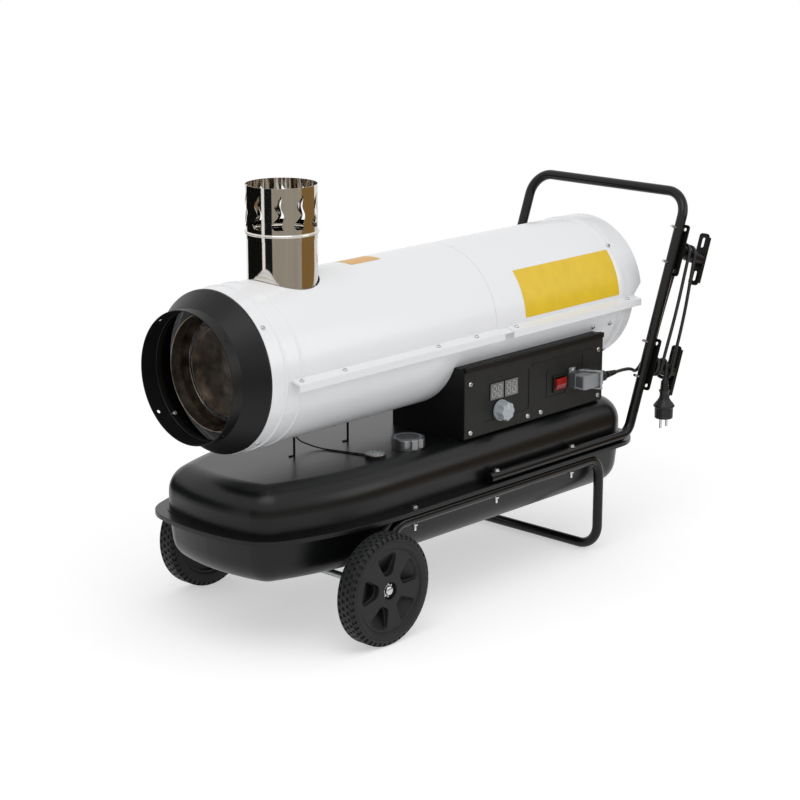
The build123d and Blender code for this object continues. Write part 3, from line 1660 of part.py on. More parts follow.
def plane_on(path, share):
    """A plane square to a path, at a share of its length."""
    return Plane(origin=path.position_at(share), z_dir=path.tangent_at(share))


def make_cord():
    bend = spool_radius + cord_radius + cord_gap - slip
    straight = bend + 2 * cord_radius
    corners = winding_points()
    aim = Vector(plug_x + tail_sway, plug_y, plug_top + tail_hang)
    into = (corners[0] - Vector(*lead_route[-1])).normalized()
    down = (aim - corners[-1]).normalized()
    first = corners[0] - into * straight
    last = corners[-1] + down * straight

    path = cord_tube("cord_winding", [first] + corners + [last], [bend] * len(corners))
    print("winding least self-gap", round(least_self_gap(path, 2 * cord_radius), 2))

    mouth = gland_mouth() + Vector(slip, 0, 0)
    lead = [mouth, mouth + Vector(lead_start, 0, 0)] + lead_route + [first - into * slip]
    cord_tube("mains_lead", lead, easy_radii(lead))

    tail = [last + down * slip, aim, Vector(plug_x, plug_y, plug_top + touch)]
    cord_tube("cord_tail", tail, easy_radii(tail))

    band = plane_on(path, tie_share)
    tie = extrude(band * (Circle(cord_radius + slip + tie_sheet) - Circle(cord_radius + slip)),
                  amount=tie_width)
    head = Pos(cord_radius + slip + tie_head / 2, 0, tie_width / 2) * Box(
        tie_head, tie_head, tie_width
    )
    nodes["cable_tie"] = tie + band * head


def make_plug():
    low = plug_top - plug_length
    shares = (
        (0.0, 0.0), (plug_radius, 0.0), (plug_radius, 0.27), (plug_flare, 0.31),
        (plug_flare - cord_radius / 2, 0.36), (plug_waist, 0.56), (plug_waist, 0.68),
        (plug_waist + cord_radius, 0.72), (plug_neck, 0.79), (plug_neck, 1.0), (0.0, 1.0),
    )
    body = turned_up([(radius, low + share * plug_length) for radius, share in shares])
    nodes["plug_body"] = Pos(plug_x, plug_y, 0) * body
    pins = []
    for side in (-1, 1):
        x = plug_x + side * plug_pin_half
        pin = rod((x, plug_y, low - plug_pin_length), (x, plug_y, low - slip), plug_pin_radius)
        pins.append(chamfer(pin.edges().sort_by(Axis.Z)[0], plug_pin_radius / 2))
    nodes["plug_pins"] = group(pins)


part_builders = (
    make_body, make_screws, make_outlet, make_chamber, make_burner, make_flue,
    make_fan, make_motor, make_guard, make_tank, make_filler, make_gauge, make_gauge_wire,
    make_frame, make_axle_fittings, make_handle, make_flange_bolts, make_box, make_panel,
    make_displays, make_knob, make_switch, make_connector, make_electrics,
    make_fuel_line, make_strips, make_winders, make_cord, make_plug,
)
for build in part_builders:
    build()
make_wheel(-1, "near")
make_wheel(1, "far")

# The cord hangs on the object, so the foot print is measured without it
cord_nodes = (
    "mains_lead", "cord_winding", "cord_tail", "plug_body", "plug_pins", "cable_tie"
)
boxes = [part.bounding_box() for name, part in nodes.items() if name not in cord_nodes]
middle_x = (min(box.min.X for box in boxes) + max(box.max.X for box in boxes)) / 2
middle_y = (min(box.min.Y for box in boxes) + max(box.max.Y for box in boxes)) / 2
floor = min(box.min.Z for box in boxes)
stand = Pos(-middle_x, -middle_y, -floor)
print("flue axis at x", round(-middle_x, 3), "moved", round(middle_y, 3), round(floor, 3))

os.makedirs("parts", exist_ok=True)
for name, part in nodes.items():
    export_step(stand * part, "parts/" + name + ".step")
print(len(nodes), "parts")
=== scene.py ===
# %% [markdown]
# # An oil-fired air heater on two wheels
# The real heater is sheet metal and tube: a white barrel that a fan blows air through, a black
# fuel tank under it, and a tube handle that the mains cord is wound on. The imported model already
# has every part in its right place and size. This script gives those parts their finishes and
# adds what a solid modeller leaves out. We work in metres, with +Z up and the control panel
# facing -Y, and start by loading the model.

# %% Load the imported model
import math

import bmesh
import bpy
from mathutils import Matrix, Vector


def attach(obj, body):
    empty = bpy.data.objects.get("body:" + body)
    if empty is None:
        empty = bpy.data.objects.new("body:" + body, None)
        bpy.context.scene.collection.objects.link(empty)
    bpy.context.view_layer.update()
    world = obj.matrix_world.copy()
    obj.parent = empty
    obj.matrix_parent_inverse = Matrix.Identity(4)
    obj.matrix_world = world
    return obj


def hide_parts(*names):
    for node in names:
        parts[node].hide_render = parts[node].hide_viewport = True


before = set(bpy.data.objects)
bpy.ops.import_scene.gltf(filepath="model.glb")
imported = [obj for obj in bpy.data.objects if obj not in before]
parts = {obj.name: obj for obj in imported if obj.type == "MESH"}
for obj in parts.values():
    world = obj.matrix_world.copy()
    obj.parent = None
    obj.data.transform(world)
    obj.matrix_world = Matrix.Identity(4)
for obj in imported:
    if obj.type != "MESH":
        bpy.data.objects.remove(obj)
scene = bpy.context.scene
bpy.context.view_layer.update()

# %% [markdown]
# ## One ruler for the whole script
# The parts were drawn in millimetres from the flue, the upright pipe near the front. A small
# function turns such a point into the model's metres, so a size can be read off a drawing and
# typed here as it is. Two more keep a drawn shape as a mesh and put a new object into the scene.

# %% Turn drawing points into metres
FLUE_X = -368.065
MM = 0.001


def point(x, y, z):
    """A drawing point in millimetres from the flue axis, as metres in the model's frame."""
    return Vector(((x + FLUE_X) * MM, y * MM, z * MM))


def as_mesh(name, shape):
    """A mesh of a shape, which is freed."""
    mesh = bpy.data.meshes.new(name)
    shape.to_mesh(mesh)
    shape.free()
    return mesh


def new_object(name, data):
    """A new object with the given data, in the scene."""
    thing = bpy.data.objects.new(name, data)
    scene.collection.objects.link(thing)
    return thing


print("flue axis on the floor", point(0, 0, 0))

# %% [markdown]
# ## The camera
# The photograph was taken from the front left, a little above the heater, with a long lens from
# about four metres away. A long lens keeps the tank's long edges nearly parallel. The camera's
# place was worked out from the circles of the barrel and the straight tubes of the frame.

# %% Place the camera
CAMERA_AZIMUTH = math.radians(-47.03)
CAMERA_ELEVATION = math.radians(14.82)
CAMERA_ROLL = math.radians(0.04)

camera_data = bpy.data.cameras.new("camera")
camera_data.sensor_width = 36.0
camera_data.lens = 97.2
camera = new_object("camera", camera_data)
camera.location = point(-2453.6, -2553.5, 1319.2)
towards = -Vector((
    math.sin(CAMERA_AZIMUTH) * math.cos(CAMERA_ELEVATION),
    -math.cos(CAMERA_AZIMUTH) * math.cos(CAMERA_ELEVATION),
    math.sin(CAMERA_ELEVATION),
))
turn = towards.to_track_quat("-Z", "Y").to_matrix() @ Matrix.Rotation(CAMERA_ROLL, 3, "Z")
camera.rotation_euler = turn.to_euler()
scene.camera = camera
print("camera", [round(c, 3) for c in camera.location], "looks along", towards)

# %% [markdown]
# ## Nodes and colours
# Every finish is a small tree of nodes. One helper adds a node, sets its options and fills its
# sockets, with a number or with another node's output. Colours are written in hex, as a screen
# shows them, and Blender wants linear light, so one function converts them.

# %% Helpers for materials


def colour(code):
    """A hex colour such as #1A1A1C as linear red, green, blue and alpha."""
    channels = [int(code[i:i + 2], 16) / 255 for i in (1, 3, 5)]
    linear = [c / 12.92 if c <= 0.04045 else ((c + 0.055) / 1.055) ** 2.4 for c in channels]
    return (*linear, 1.0)


def add_node(tree, kind, sockets=None, **settings):
    """Add a shader node, set its options, and fill its sockets with values or other outputs."""
    node = tree.nodes.new("ShaderNode" + kind)
    for name, value in settings.items():
        setattr(node, name, value)
    for name, value in (sockets or {}).items():
        if isinstance(value, bpy.types.NodeSocket):
            tree.links.new(value, node.inputs[name])
        else:
            node.inputs[name].default_value = value
    return node


def new_finish(name):
    """An empty material, its tree, and the object coordinates that its patterns are laid on."""
    material = bpy.data.materials.new(name)
    material.use_nodes = True
    tree = material.node_tree
    tree.nodes.clear()
    place = add_node(tree, "TexCoord").outputs["Object"]
    return material, tree, place


def close_finish(tree, shader):
    """Lead a shader's output to the surface."""
    add_node(tree, "OutputMaterial", {"Surface": shader.outputs[0]})


print("white card is", colour("#FFFFFF"), "mid grey is", colour("#808080")[0])

# %% [markdown]
# ## The mains cord
# A three-core rubber cord, 6.4 mm thick, leaves the grey connector, goes behind the handle's near
# tube, takes one turn round the lower winder, then runs twice up over the top winder and back,
# and ends in a plug that hangs below the lower winder. The whole cord is in view, so its length
# is what is wound here, about 1.4 m. A cord bends smoothly, so it is one NURBS curve: its points
# stand off the corners, and the curve rounds them by itself. On the long straight stretches a
# point stands close to each winder, because a taut cord goes straight until it meets the spool.
# The bevel is one metre and every point's radius, which scales it, is the cord's.

# %% Lay out the cord's route
CORD_RADIUS = 3.2 * MM
TUBE_WAY = Vector((0.35790, 0.0, 0.93377))
WINDER_OFF = Vector((0.93377, 0.0, -0.35790))
LOWER_WINDER = point(767.73, -187.0, 342.0)
SPOOL, TOP, NEAR_TOP = 16.1, 238.85, 206.7
PLUG_X, PLUG_Y = 810.0, -203.0


def round_winder(along, out, off):
    """A point up the handle tube, out to the panel side and off the tube, from the lower winder."""
    return LOWER_WINDER + (along * TUBE_WAY + off * WINDER_OFF) * MM + Vector((0, -out * MM, 0))


cord_exit = point(656.2, -179.75, 338.0)
lead = [
    cord_exit,
    point(686.0, -179.75, 338.0),
    point(712.0, -176.6, 337.0),
    point(742.0, -172.5, 333.4),
]
wound = [
    (-20.1, -26.7, 16.3),
    (SPOOL, -SPOOL, 18.2), (SPOOL, SPOOL, 20.1), (-SPOOL, SPOOL, 22.0), (-SPOOL, -SPOOL, 27.7),
    (SPOOL, -SPOOL, 27.8), (111.0, -15.0, 30.0), (NEAR_TOP, -SPOOL, 28.2),
    (TOP, -SPOOL, 28.1), (TOP, SPOOL, 30.0),
    (NEAR_TOP, SPOOL, 30.3), (111.0, 17.5, 33.5), (SPOOL, SPOOL, 32.3),
    (-SPOOL, SPOOL, 32.6), (-SPOOL, -SPOOL, 34.5),
    (SPOOL, -SPOOL, 36.0), (111.0, -17.0, 38.5), (NEAR_TOP, -SPOOL, 44.7),
    (TOP, -SPOOL, 46.1), (TOP, SPOOL, 48.0),
    (NEAR_TOP, SPOOL, 50.6), (111.0, 18.5, 60.5), (SPOOL, SPOOL, 65.7),
    (-SPOOL, SPOOL, 68.3), (-SPOOL, -SPOOL, 66.4), (SPOOL, -SPOOL, 60.2),
    (SPOOL + 1.0, SPOOL + 1.0, 44.0),
]
tail = [point(PLUG_X + 0.6, PLUG_Y, 313.0), point(PLUG_X, PLUG_Y, 300.0)]
route = lead + [round_winder(*place) for place in wound] + tail

curve = bpy.data.curves.new("mains_cord", "CURVE")
curve.dimensions = "3D"
curve.bevel_depth = 1.0
curve.bevel_resolution = 5
curve.resolution_u = 8
curve.use_fill_caps = True
spline = curve.splines.new("NURBS")
spline.points.add(len(route) - 1)
for spot, place in zip(spline.points, route):
    spot.co = (*place, 1.0)
    spot.radius = CORD_RADIUS
spline.order_u = 3
spline.use_endpoint_u = True
mains_cord = new_object("mains_cord", curve)
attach(mains_cord, "heater")
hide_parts("mains_lead", "cord_winding", "cord_tail")
print("cord points", len(route))

# %% [markdown]
# ## Floor, backdrop and light
# The heater stands on white paper in a bright room, which lights it evenly. For the camera and
# for reflections the paper fades to pure white away from the object, so there is no horizon and
# polished metal mirrors a white room, while the diffuse light on the object stays plain. Near
# the object the same rays see a share of glow in the paper, which keeps the shadow light.

# %% Make the studio
ROOM_LIGHT = 0.72
PAPER_SHARE, PAPER_GLOW = 0.27, 1.70
FADE_FROM, FADE_TO = 1.0, 2.1


def bright_rays(tree):
    """One where a ray comes from the camera, a reflection or glass, else zero."""
    path = add_node(tree, "LightPath").outputs
    sharp = add_node(tree, "Math", {
        0: path["Is Camera Ray"], 1: path["Is Glossy Ray"],
    }, operation="MAXIMUM")
    clear = add_node(tree, "Math", {
        0: sharp.outputs["Value"], 1: path["Is Transmission Ray"],
    }, operation="MAXIMUM")
    return clear.outputs["Value"]


world = bpy.data.worlds.new("studio")
world.use_nodes = True
scene.world = world
sky = world.node_tree
sky.nodes.clear()
level = add_node(sky, "MapRange", {
    "Value": bright_rays(sky), "To Min": ROOM_LIGHT, "To Max": 1.0,
})
room = add_node(sky, "Background", {
    "Color": colour("#FFFFFF"), "Strength": level.outputs["Result"],
})
add_node(sky, "OutputWorld", {"Surface": room.outputs["Background"]})

floor_shape = bmesh.new()
bmesh.ops.create_grid(floor_shape, x_segments=1, y_segments=1, size=30.0)
floor_mesh = as_mesh("floor", floor_shape)
floor = new_object("floor", floor_mesh)

paper, paper_tree, paper_place = new_finish("studio paper")
distance = add_node(paper_tree, "VectorMath", {0: paper_place}, operation="LENGTH")
fade = add_node(paper_tree, "MapRange", {
    "Value": distance.outputs["Value"], "From Min": FADE_FROM, "From Max": FADE_TO,
}, interpolation_type="SMOOTHSTEP")
bright = bright_rays(paper_tree)
seen = add_node(paper_tree, "Math", {0: fade.outputs["Result"], 1: bright}, operation="MULTIPLY")
matt = add_node(paper_tree, "BsdfDiffuse", {"Color": colour("#F8F8F8")})
glow = add_node(paper_tree, "Emission", {"Color": colour("#FFFFFF"), "Strength": PAPER_GLOW})
glow_share = add_node(paper_tree, "Math", {0: bright, 1: PAPER_SHARE}, operation="MULTIPLY")
near_paper = add_node(paper_tree, "MixShader", {
    0: glow_share.outputs["Value"], 1: matt.outputs["BSDF"], 2: glow.outputs["Emission"],
})
white = add_node(paper_tree, "Emission", {"Color": colour("#FFFFFF"), "Strength": 1.0})
blend = add_node(paper_tree, "MixShader", {
    0: seen.outputs["Value"], 1: near_paper.outputs["Shader"], 2: white.outputs["Emission"],
})
close_finish(paper_tree, blend)
floor_mesh.materials.append(paper)
print("room light", ROOM_LIGHT, "paper glow", PAPER_GLOW)

# %% [markdown]
# ## Cards for the polished flue
# A mirror-polished pipe shows the studio, not itself: in the photograph it holds a dark wall with
# one bright slit on its left, a grey-beige wall in the middle, and a brown panel on its right.
# Photographers set such cards round shiny metal. Here they are one low ring round the flue that
# only reflections see, so they light nothing and never show.

# %% Set the cards round the flue
CARD_RADIUS = 1.6
CARD_LOW, CARD_HIGH = 0.01, 0.62
CARDS = [
    (-62.5, -140.0, "#121311"), (-28.0, -52.5, "#191A1C"),
    (67.0, -28.0, "#A59F93"), (126.0, 67.0, "#86693F"),
]


def card_finish(name, code):
    """Plain card that shows its own colour in a reflection."""
    material, tree, place = new_finish(name)
    streak = add_node(tree, "TexNoise", {"Vector": place, "Scale": 1.5})
    level = add_node(tree, "MapRange", {
        "Value": streak.outputs["Fac"], "To Min": 0.75, "To Max": 1.2,
    })
    shine = add_node(tree, "Emission", {"Color": colour(code), "Strength": level.outputs["Result"]})
    close_finish(tree, shine)
    return material


for number, (left, right, code) in enumerate(CARDS):
    card_shape = bmesh.new()
    ends = [card_shape.verts.new((CARD_RADIUS, 0, height)) for height in (CARD_LOW, CARD_HIGH)]
    strip = card_shape.edges.new(ends)
    bmesh.ops.spin(card_shape, geom=ends + [strip], cent=(0, 0, 0), axis=(0, 0, 1),
                   angle=math.radians(left - right), steps=12)
    start = math.radians(right - 90.0) + CAMERA_AZIMUTH
    bmesh.ops.transform(card_shape, matrix=Matrix.Translation(point(0, 0, 0))
                        @ Matrix.Rotation(start, 4, "Z"), verts=card_shape.verts)
    card_mesh = as_mesh("card", card_shape)
    card_mesh.materials.append(card_finish(f"card {number}", code))
    card = new_object(f"card_{number}", card_mesh)
    card.visible_camera = card.visible_diffuse = False
    card.visible_shadow = card.visible_transmission = False
print("cards", len(CARDS))

# %% [markdown]
# ## Soft boxes
# Two large area lamps give the soft highlights: the key high on the left, and the side lamp
# lower on the right.

# %% Hang the lamps


def soft_box(name, place, aim, width, height, power):
    """A rectangular area lamp that points at a spot."""
    lamp = bpy.data.lights.new(name, "AREA")
    lamp.shape = "RECTANGLE"
    lamp.size = width
    lamp.size_y = height
    lamp.energy = power
    holder = new_object(name, lamp)
    holder.location = place
    holder.rotation_euler = (Vector(aim) - Vector(place)).to_track_quat("-Z", "Y").to_euler()


soft_box("key", (-1.3, -1.0, 2.9), (0.0, 0.0, 0.4), 2.2, 1.6, 20.0)
soft_box("side", (1.6, -2.8, 1.6), (0.1, 0.0, 0.4), 1.6, 1.6, 12.0)
scene.view_settings.view_transform = "Standard"

# %% [markdown]
# ## Powder coat
# The sheet metal and the tubes are powder coated: plastic powder is sprayed on dry and melted in
# an oven. It flows nearly smooth, but keeps a faint orange peel of shallow waves one to three
# millimetres wide, which breaks up a reflection's edge. We make the peel with a noise texture
# through a bump node, sized in real millimetres, and keep the colour plain with a trace of
# variation in the gloss. The sheet under it is a little wavy too.

# %% Powder coated steel


def powder_coat(name, code, roughness, peel_mm, peel_depth_mm, wave_mm=70.0, wave_depth_mm=0.0,
                shine=0.5):
    """Oven-cured powder on steel: orange peel of a given size, over slightly wavy sheet."""
    material, tree, place = new_finish(name)
    peel = add_node(tree, "TexNoise", {"Vector": place, "Scale": 1 / (peel_mm * MM), "Detail": 2.0})
    wave = add_node(tree, "TexNoise", {"Vector": place, "Scale": 1 / (wave_mm * MM), "Detail": 1.0})
    sheet = add_node(tree, "Bump", {
        "Height": wave.outputs["Fac"], "Strength": 1.0, "Distance": wave_depth_mm * MM,
    })
    skin = add_node(tree, "Bump", {
        "Height": peel.outputs["Fac"], "Strength": 1.0, "Distance": peel_depth_mm * MM,
        "Normal": sheet.outputs["Normal"],
    })
    gloss = add_node(tree, "MapRange", {
        "Value": wave.outputs["Fac"], "To Min": roughness * 0.9, "To Max": roughness * 1.1,
    })
    shader = add_node(tree, "BsdfPrincipled", {
        "Base Color": colour(code), "Roughness": gloss.outputs["Result"], "IOR": 1.5,
        "Specular IOR Level": shine, "Normal": skin.outputs["Normal"],
    })
    close_finish(tree, shader)
    return material


white_coat = powder_coat("white powder coat", "#E9EAEC", 0.24, 2.6, 0.006, 90.0, 0.12)
tank_coat = powder_coat("satin black powder coat", "#0C0D0E", 0.30, 1.8, 0.008, 120.0, 0.10, 0.3)
tube_coat = powder_coat("gloss black powder coat", "#0B0B0C", 0.22, 2.0, 0.006, shine=0.3)
box_coat = powder_coat("black box coat", "#0C0D0D", 0.40, 1.6, 0.008, shine=0.2)
outlet_coat = powder_coat("heat-resistant black coat", "#101011", 0.42, 1.2, 0.006, shine=0.25)
motor_coat = powder_coat("dark grey machine paint", "#3A3C3E", 0.42, 2.0, 0.010)
print("powder coats", [m.name for m in bpy.data.materials if "coat" in m.name])

# %% [markdown]
# ## Bare metals
# The flue is mirror-polished stainless steel, whose look comes from what it reflects. The drum
# and liner behind the outlet are bare steel that heat has tinted brown in clouds. Screws, axle and
# brackets are zinc plated, which is bright but a little cloudy. The fan is pressed aluminium, the
# filler cap a duller casting, and the burner's nozzle turned brass.

# %% Steel, zinc, aluminium and brass


def bright_metal(name, code, roughness, cloud_mm, grain_depth_mm):
    """Plated or rolled metal with faint clouds in its gloss."""
    material, tree, place = new_finish(name)
    cloud = add_node(tree, "TexNoise", {
        "Vector": place, "Scale": 1 / (cloud_mm * MM), "Detail": 3.0,
    })
    gloss = add_node(tree, "MapRange", {
        "Value": cloud.outputs["Fac"], "To Min": roughness * 0.7, "To Max": roughness * 1.3,
    })
    bump = add_node(tree, "Bump", {
        "Height": cloud.outputs["Fac"], "Strength": 1.0, "Distance": grain_depth_mm * MM,
    })
    shader = add_node(tree, "BsdfPrincipled", {
        "Base Color": colour(code), "Metallic": 1.0, "Roughness": gloss.outputs["Result"],
        "Normal": bump.outputs["Normal"],
    })
    close_finish(tree, shader)
    return material


flue_steel = bright_metal("mirror stainless steel", "#DAD5CE", 0.07, 45.0, 0.05)
zinc_plate = bright_metal("bright zinc plate", "#C9CACC", 0.24, 4.0, 0.004)
plain_steel = bright_metal("plain zinc-plated steel", "#A9ABAD", 0.34, 12.0, 0.010)
fan_metal = bright_metal("pressed aluminium", "#C4C6C8", 0.32, 15.0, 0.010)
cap_metal = bright_metal("silver filler cap", "#8F9194", 0.36, 3.0, 0.010)
dull_chrome = bright_metal("dulled bezel plate", "#8A8B80", 0.30, 3.0, 0.006)
brass = bright_metal("turned brass", "#B08D4A", 0.25, 6.0, 0.004)

heat_steel, heat_tree, heat_place = new_finish("heat-tinted steel")
smoke = add_node(heat_tree, "TexNoise", {
    "Vector": heat_place, "Scale": 1 / (22 * MM), "Detail": 5.0, "Roughness": 0.6,
})
tint = add_node(heat_tree, "ValToRGB", {"Fac": smoke.outputs["Fac"]})
tint.color_ramp.elements[0].position = 0.3
tint.color_ramp.elements[0].color = colour("#574D45")
tint.color_ramp.elements[1].position = 0.7
tint.color_ramp.elements[1].color = colour("#9C938A")
drag = add_node(heat_tree, "Bump", {
    "Height": smoke.outputs["Fac"], "Strength": 1.0, "Distance": 0.03 * MM,
})
scorched = add_node(heat_tree, "BsdfPrincipled", {
    "Base Color": tint.outputs["Color"], "Metallic": 1.0, "Roughness": 0.33,
    "Normal": drag.outputs["Normal"],
})
close_finish(heat_tree, scorched)
print("metals ready")

# %% [markdown]
# ## Plastics and rubber
# The wheels are one moulded black polymer with a spark-eroded grain, and the knob is light grey
# ABS. The connector is nylon in three greys: its socket the darkest, partly its own colour and
# partly painted shade of the connector's left side, and its lever the palest. Cord and plug are
# rubber, with hardly any gloss. Moulded grain is a fraction of a millimetre, too fine to show at
# this distance, so it is drawn about twice as coarse as it is. The gauge's glass lets most light
# through and keeps its gloss.

# %% Moulded plastic and rubber
PATCH_MM = 25


def moulded(name, code, roughness, grain_mm, grain_depth_mm, shade=0.12, shine=0.5):
    """Plastic or rubber with the grain of its mould and a trace of uneven shade."""
    material, tree, place = new_finish(name)
    grain = add_node(tree, "TexNoise", {
        "Vector": place, "Scale": 1 / (grain_mm * MM), "Detail": 2.0,
    })
    patch = add_node(tree, "TexNoise", {
        "Vector": place, "Scale": 1 / (PATCH_MM * MM), "Detail": 2.0,
    })
    base = colour(code)
    shades = add_node(tree, "ValToRGB", {"Fac": patch.outputs["Fac"]})
    shades.color_ramp.elements[0].position = 0.35
    shades.color_ramp.elements[0].color = (*[c * (1 - shade) for c in base[:3]], 1.0)
    shades.color_ramp.elements[1].position = 0.65
    shades.color_ramp.elements[1].color = (*[min(1.0, c * (1 + shade)) for c in base[:3]], 1.0)
    bump = add_node(tree, "Bump", {
        "Height": grain.outputs["Fac"], "Strength": 1.0, "Distance": grain_depth_mm * MM,
    })
    shader = add_node(tree, "BsdfPrincipled", {
        "Base Color": shades.outputs["Color"], "Roughness": roughness, "IOR": 1.5,
        "Specular IOR Level": shine, "Normal": bump.outputs["Normal"],
    })
    close_finish(tree, shader)
    return material


wheel_black = moulded("black wheel polymer", "#191A1C", 0.55, 0.9, 0.03, shine=0.35)
black_plastic = moulded("black polyamide", "#131415", 0.45, 0.8, 0.01, shine=0.35)
panel_film = moulded("matt black panel film", "#191B1B", 0.50, 0.7, 0.008, shine=0.3)
knob_grey = moulded("light grey ABS", "#A3A9AE", 0.38, 0.9, 0.01, 0.05)
connector_grey = moulded("grey nylon", "#85878A", 0.42, 0.9, 0.012, 0.06)
lever_grey = moulded("pale grey nylon", "#A2A4A7", 0.36, 0.9, 0.010, 0.05)
# The socket's darker grey is partly its own colour and partly painted shade of the connector's left
# side.
socket_grey_and_shade = moulded("dark grey nylon and painted shade", "#4A4C4F", 0.42, 0.9, 0.012, 0.06)
switch_red = moulded("red polycarbonate", "#8E1A16", 0.16, 1.5, 0.004)
needle_red = moulded("red pointer", "#B02418", 0.35, 1.0, 0.004)
seal_rubber = moulded("black seal rubber", "#161616", 0.60, 1.0, 0.02)
cord_rubber = moulded("black cord rubber", "#131313", 0.48, 1.1, 0.012)
board_green = moulded("green circuit board", "#1E5A34", 0.30, 1.0, 0.006)
display_grey = moulded("grey display block", "#6F7070", 0.30, 1.2, 0.01, 0.10, shine=0.4)
segment_pale = moulded("unlit display segments", "#B4B3AC", 0.35, 0.8, 0.004, 0.05)
white_print = moulded("white printing ink", "#D8D8D4", 0.45, 0.8, 0.004, 0.04)
dial_olive = moulded("olive-grey dial plate", "#3E4034", 0.45, 1.0, 0.004, 0.10)
cap_top_grey = moulded("grey cast cap top", "#6C6E72", 0.50, 0.9, 0.05, 0.10)
yellow_film = moulded("yellow vinyl film", "#E2BE22", 0.32, 2.0, 0.003, 0.03)
orange_film = moulded("orange vinyl film", "#D69A22", 0.32, 2.0, 0.003, 0.05)

gauge_glass, glass_tree, glass_place = new_finish("gauge glass")
speck = add_node(glass_tree, "TexNoise", {"Vector": glass_place, "Scale": 1 / (8 * MM)})
glass_gloss = add_node(glass_tree, "MapRange", {
    "Value": speck.outputs["Fac"], "To Min": 0.048, "To Max": 0.072,
})
close_finish(glass_tree, add_node(glass_tree, "BsdfPrincipled", {
    "Base Color": colour("#E8EEF0"), "Roughness": glass_gloss.outputs["Result"], "IOR": 1.5,
    "Alpha": 0.25,
}))
print("plastics ready")

# %% [markdown]
# ## Dress the parts
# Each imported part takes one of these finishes. Only the material changes: the part itself stays
# as it was made.

# %% Give every part its finish
finishes = {
    white_coat: "front_cover rear_cover lower_shell",
    tank_coat: "tank_upper tank_lower",
    tube_coat: "handle foot_frame",
    box_coat: "control_box cord_winders front_supports rear_guard",
    outlet_coat: "outlet_cone",
    motor_coat: "motor fuel_pump",
    flue_steel: "flue_upper flue_lower",
    heat_steel: "combustion_chamber liner_ring",
    zinc_plate: "screws flange_bolts axle_fittings winder_bolts plug_pins",
    plain_steel: "axle burner_tube drain_plug filler_neck filler_strainer motor_bracket "
                 "thermostat_body",
    fan_metal: "fan",
    cap_metal: "filler_cap",
    brass: "burner_nozzle",
    wheel_black: "tyre_near tyre_far rim_near rim_far",
    black_plastic: "cable_gland cable_tie display_frames gauge_bezel switch_bezel",
    panel_film: "control_panel",
    knob_grey: "thermostat_knob",
    connector_grey: "connector_hood",
    lever_grey: "latch_lever",
    socket_grey_and_shade: "connector_base",
    switch_red: "switch_rocker",
    needle_red: "gauge_needle",
    seal_rubber: "cap_gasket flange_pads fuel_line",
    cord_rubber: "plug_body gauge_wire",
    board_green: "circuit_board",
    display_grey: "display_windows",
    gauge_glass: "gauge_lens",
}
dressed = set()
for finish, names in finishes.items():
    for name in names.split():
        for slot in parts[name].material_slots:
            slot.material = finish
        dressed.add(name)
curve.materials.append(cord_rubber)
print("not dressed", sorted(set(parts) - dressed))

# %% [markdown]
# ## Tools for small pieces
# Screws, wheels, plug and gauge are turned or pressed parts, so a few tools make most of them.
# One spins a profile round an axis, as a lathe would. One copies a pattern to many places,
# because many equal screws need only one shape. The last turns a finished mesh into a piece
# that rides on one of the model's bodies, with sharp edges where faces meet steeply.

# %% Lathe, stamp and finish


def facing(place, along, turn=0.0):
    """A matrix that puts a shape's +Z along a direction at a place, turned by an angle first."""
    lay = Vector((0, 0, 1)).rotation_difference(Vector(along)).to_matrix().to_4x4()
    return Matrix.Translation(place) @ lay @ Matrix.Rotation(turn, 4, "Z")


def added(shape, old):
    """The vertices that a shape has gained since a set of them was kept."""
    return [vert for vert in shape.verts if vert not in old]


def edges_of(verts):
    """Every edge that ends at one of the vertices."""
    return list({edge for vert in verts for edge in vert.link_edges})


def ease(shape, verts, offset_mm):
    """Round the edges at some vertices off by a small bevel."""
    bmesh.ops.bevel(shape, geom=edges_of(verts), offset=offset_mm * MM, segments=2, profile=0.5,
                    affect="EDGES", material=-1)


def step_of(spot, steps):
    """Which of the equal steps round Z a spot is in."""
    return round((math.atan2(spot.y, spot.x) % math.tau) / math.tau * steps - 0.5)


def lathe(shape, profile, matrix=Matrix(), steps=32):
    """Spin a profile of (radius, height) in millimetres about Z, then place it by a matrix."""
    old = set(shape.verts)
    points = [shape.verts.new((radius * MM, 0, height * MM)) for radius, height in profile]
    edges = [shape.edges.new(pair) for pair in zip(points, points[1:])]
    bmesh.ops.spin(shape, geom=points + edges, cent=(0, 0, 0), axis=(0, 0, 1),
                   angle=math.tau, steps=steps, use_merge=True)
    bmesh.ops.remove_doubles(shape, verts=added(shape, old), dist=0.002 * MM)
    bmesh.ops.transform(shape, matrix=matrix, verts=added(shape, old))


def brick(shape, size, place, bevel_mm=0.0, turn=Matrix()):
    """A block of a size in millimetres with its edges eased, centred at a place."""
    old = set(shape.verts)
    bmesh.ops.create_cube(shape, size=1.0)
    made = added(shape, old)
    bmesh.ops.scale(shape, vec=Vector(size) * MM, verts=made)
    if bevel_mm:
        ease(shape, made, bevel_mm)
    bmesh.ops.transform(shape, matrix=Matrix.Translation(place) @ turn.to_4x4(),
                        verts=added(shape, old))


def ring_brick(shape, size, hub, angle, out, height, bevel_mm=0.0):
    """A block at an angle round a hub's axis, so many millimetres out and up."""
    swing = hub @ Matrix.Rotation(angle, 4, "Z")
    brick(shape, size, swing @ Vector((out * MM, 0, height * MM)), bevel_mm, swing.to_3x3())


def pattern(name, shape):
    """Keep a shape, its faces turned outwards, as a mesh that can be stamped many times."""
    bmesh.ops.recalc_face_normals(shape, faces=shape.faces)
    return as_mesh(name, shape)


def stamp(shape, mesh, matrix):
    """Add a copy of a pattern to a shape."""
    old = set(shape.verts)
    shape.from_mesh(mesh)
    bmesh.ops.transform(shape, matrix=matrix, verts=added(shape, old))


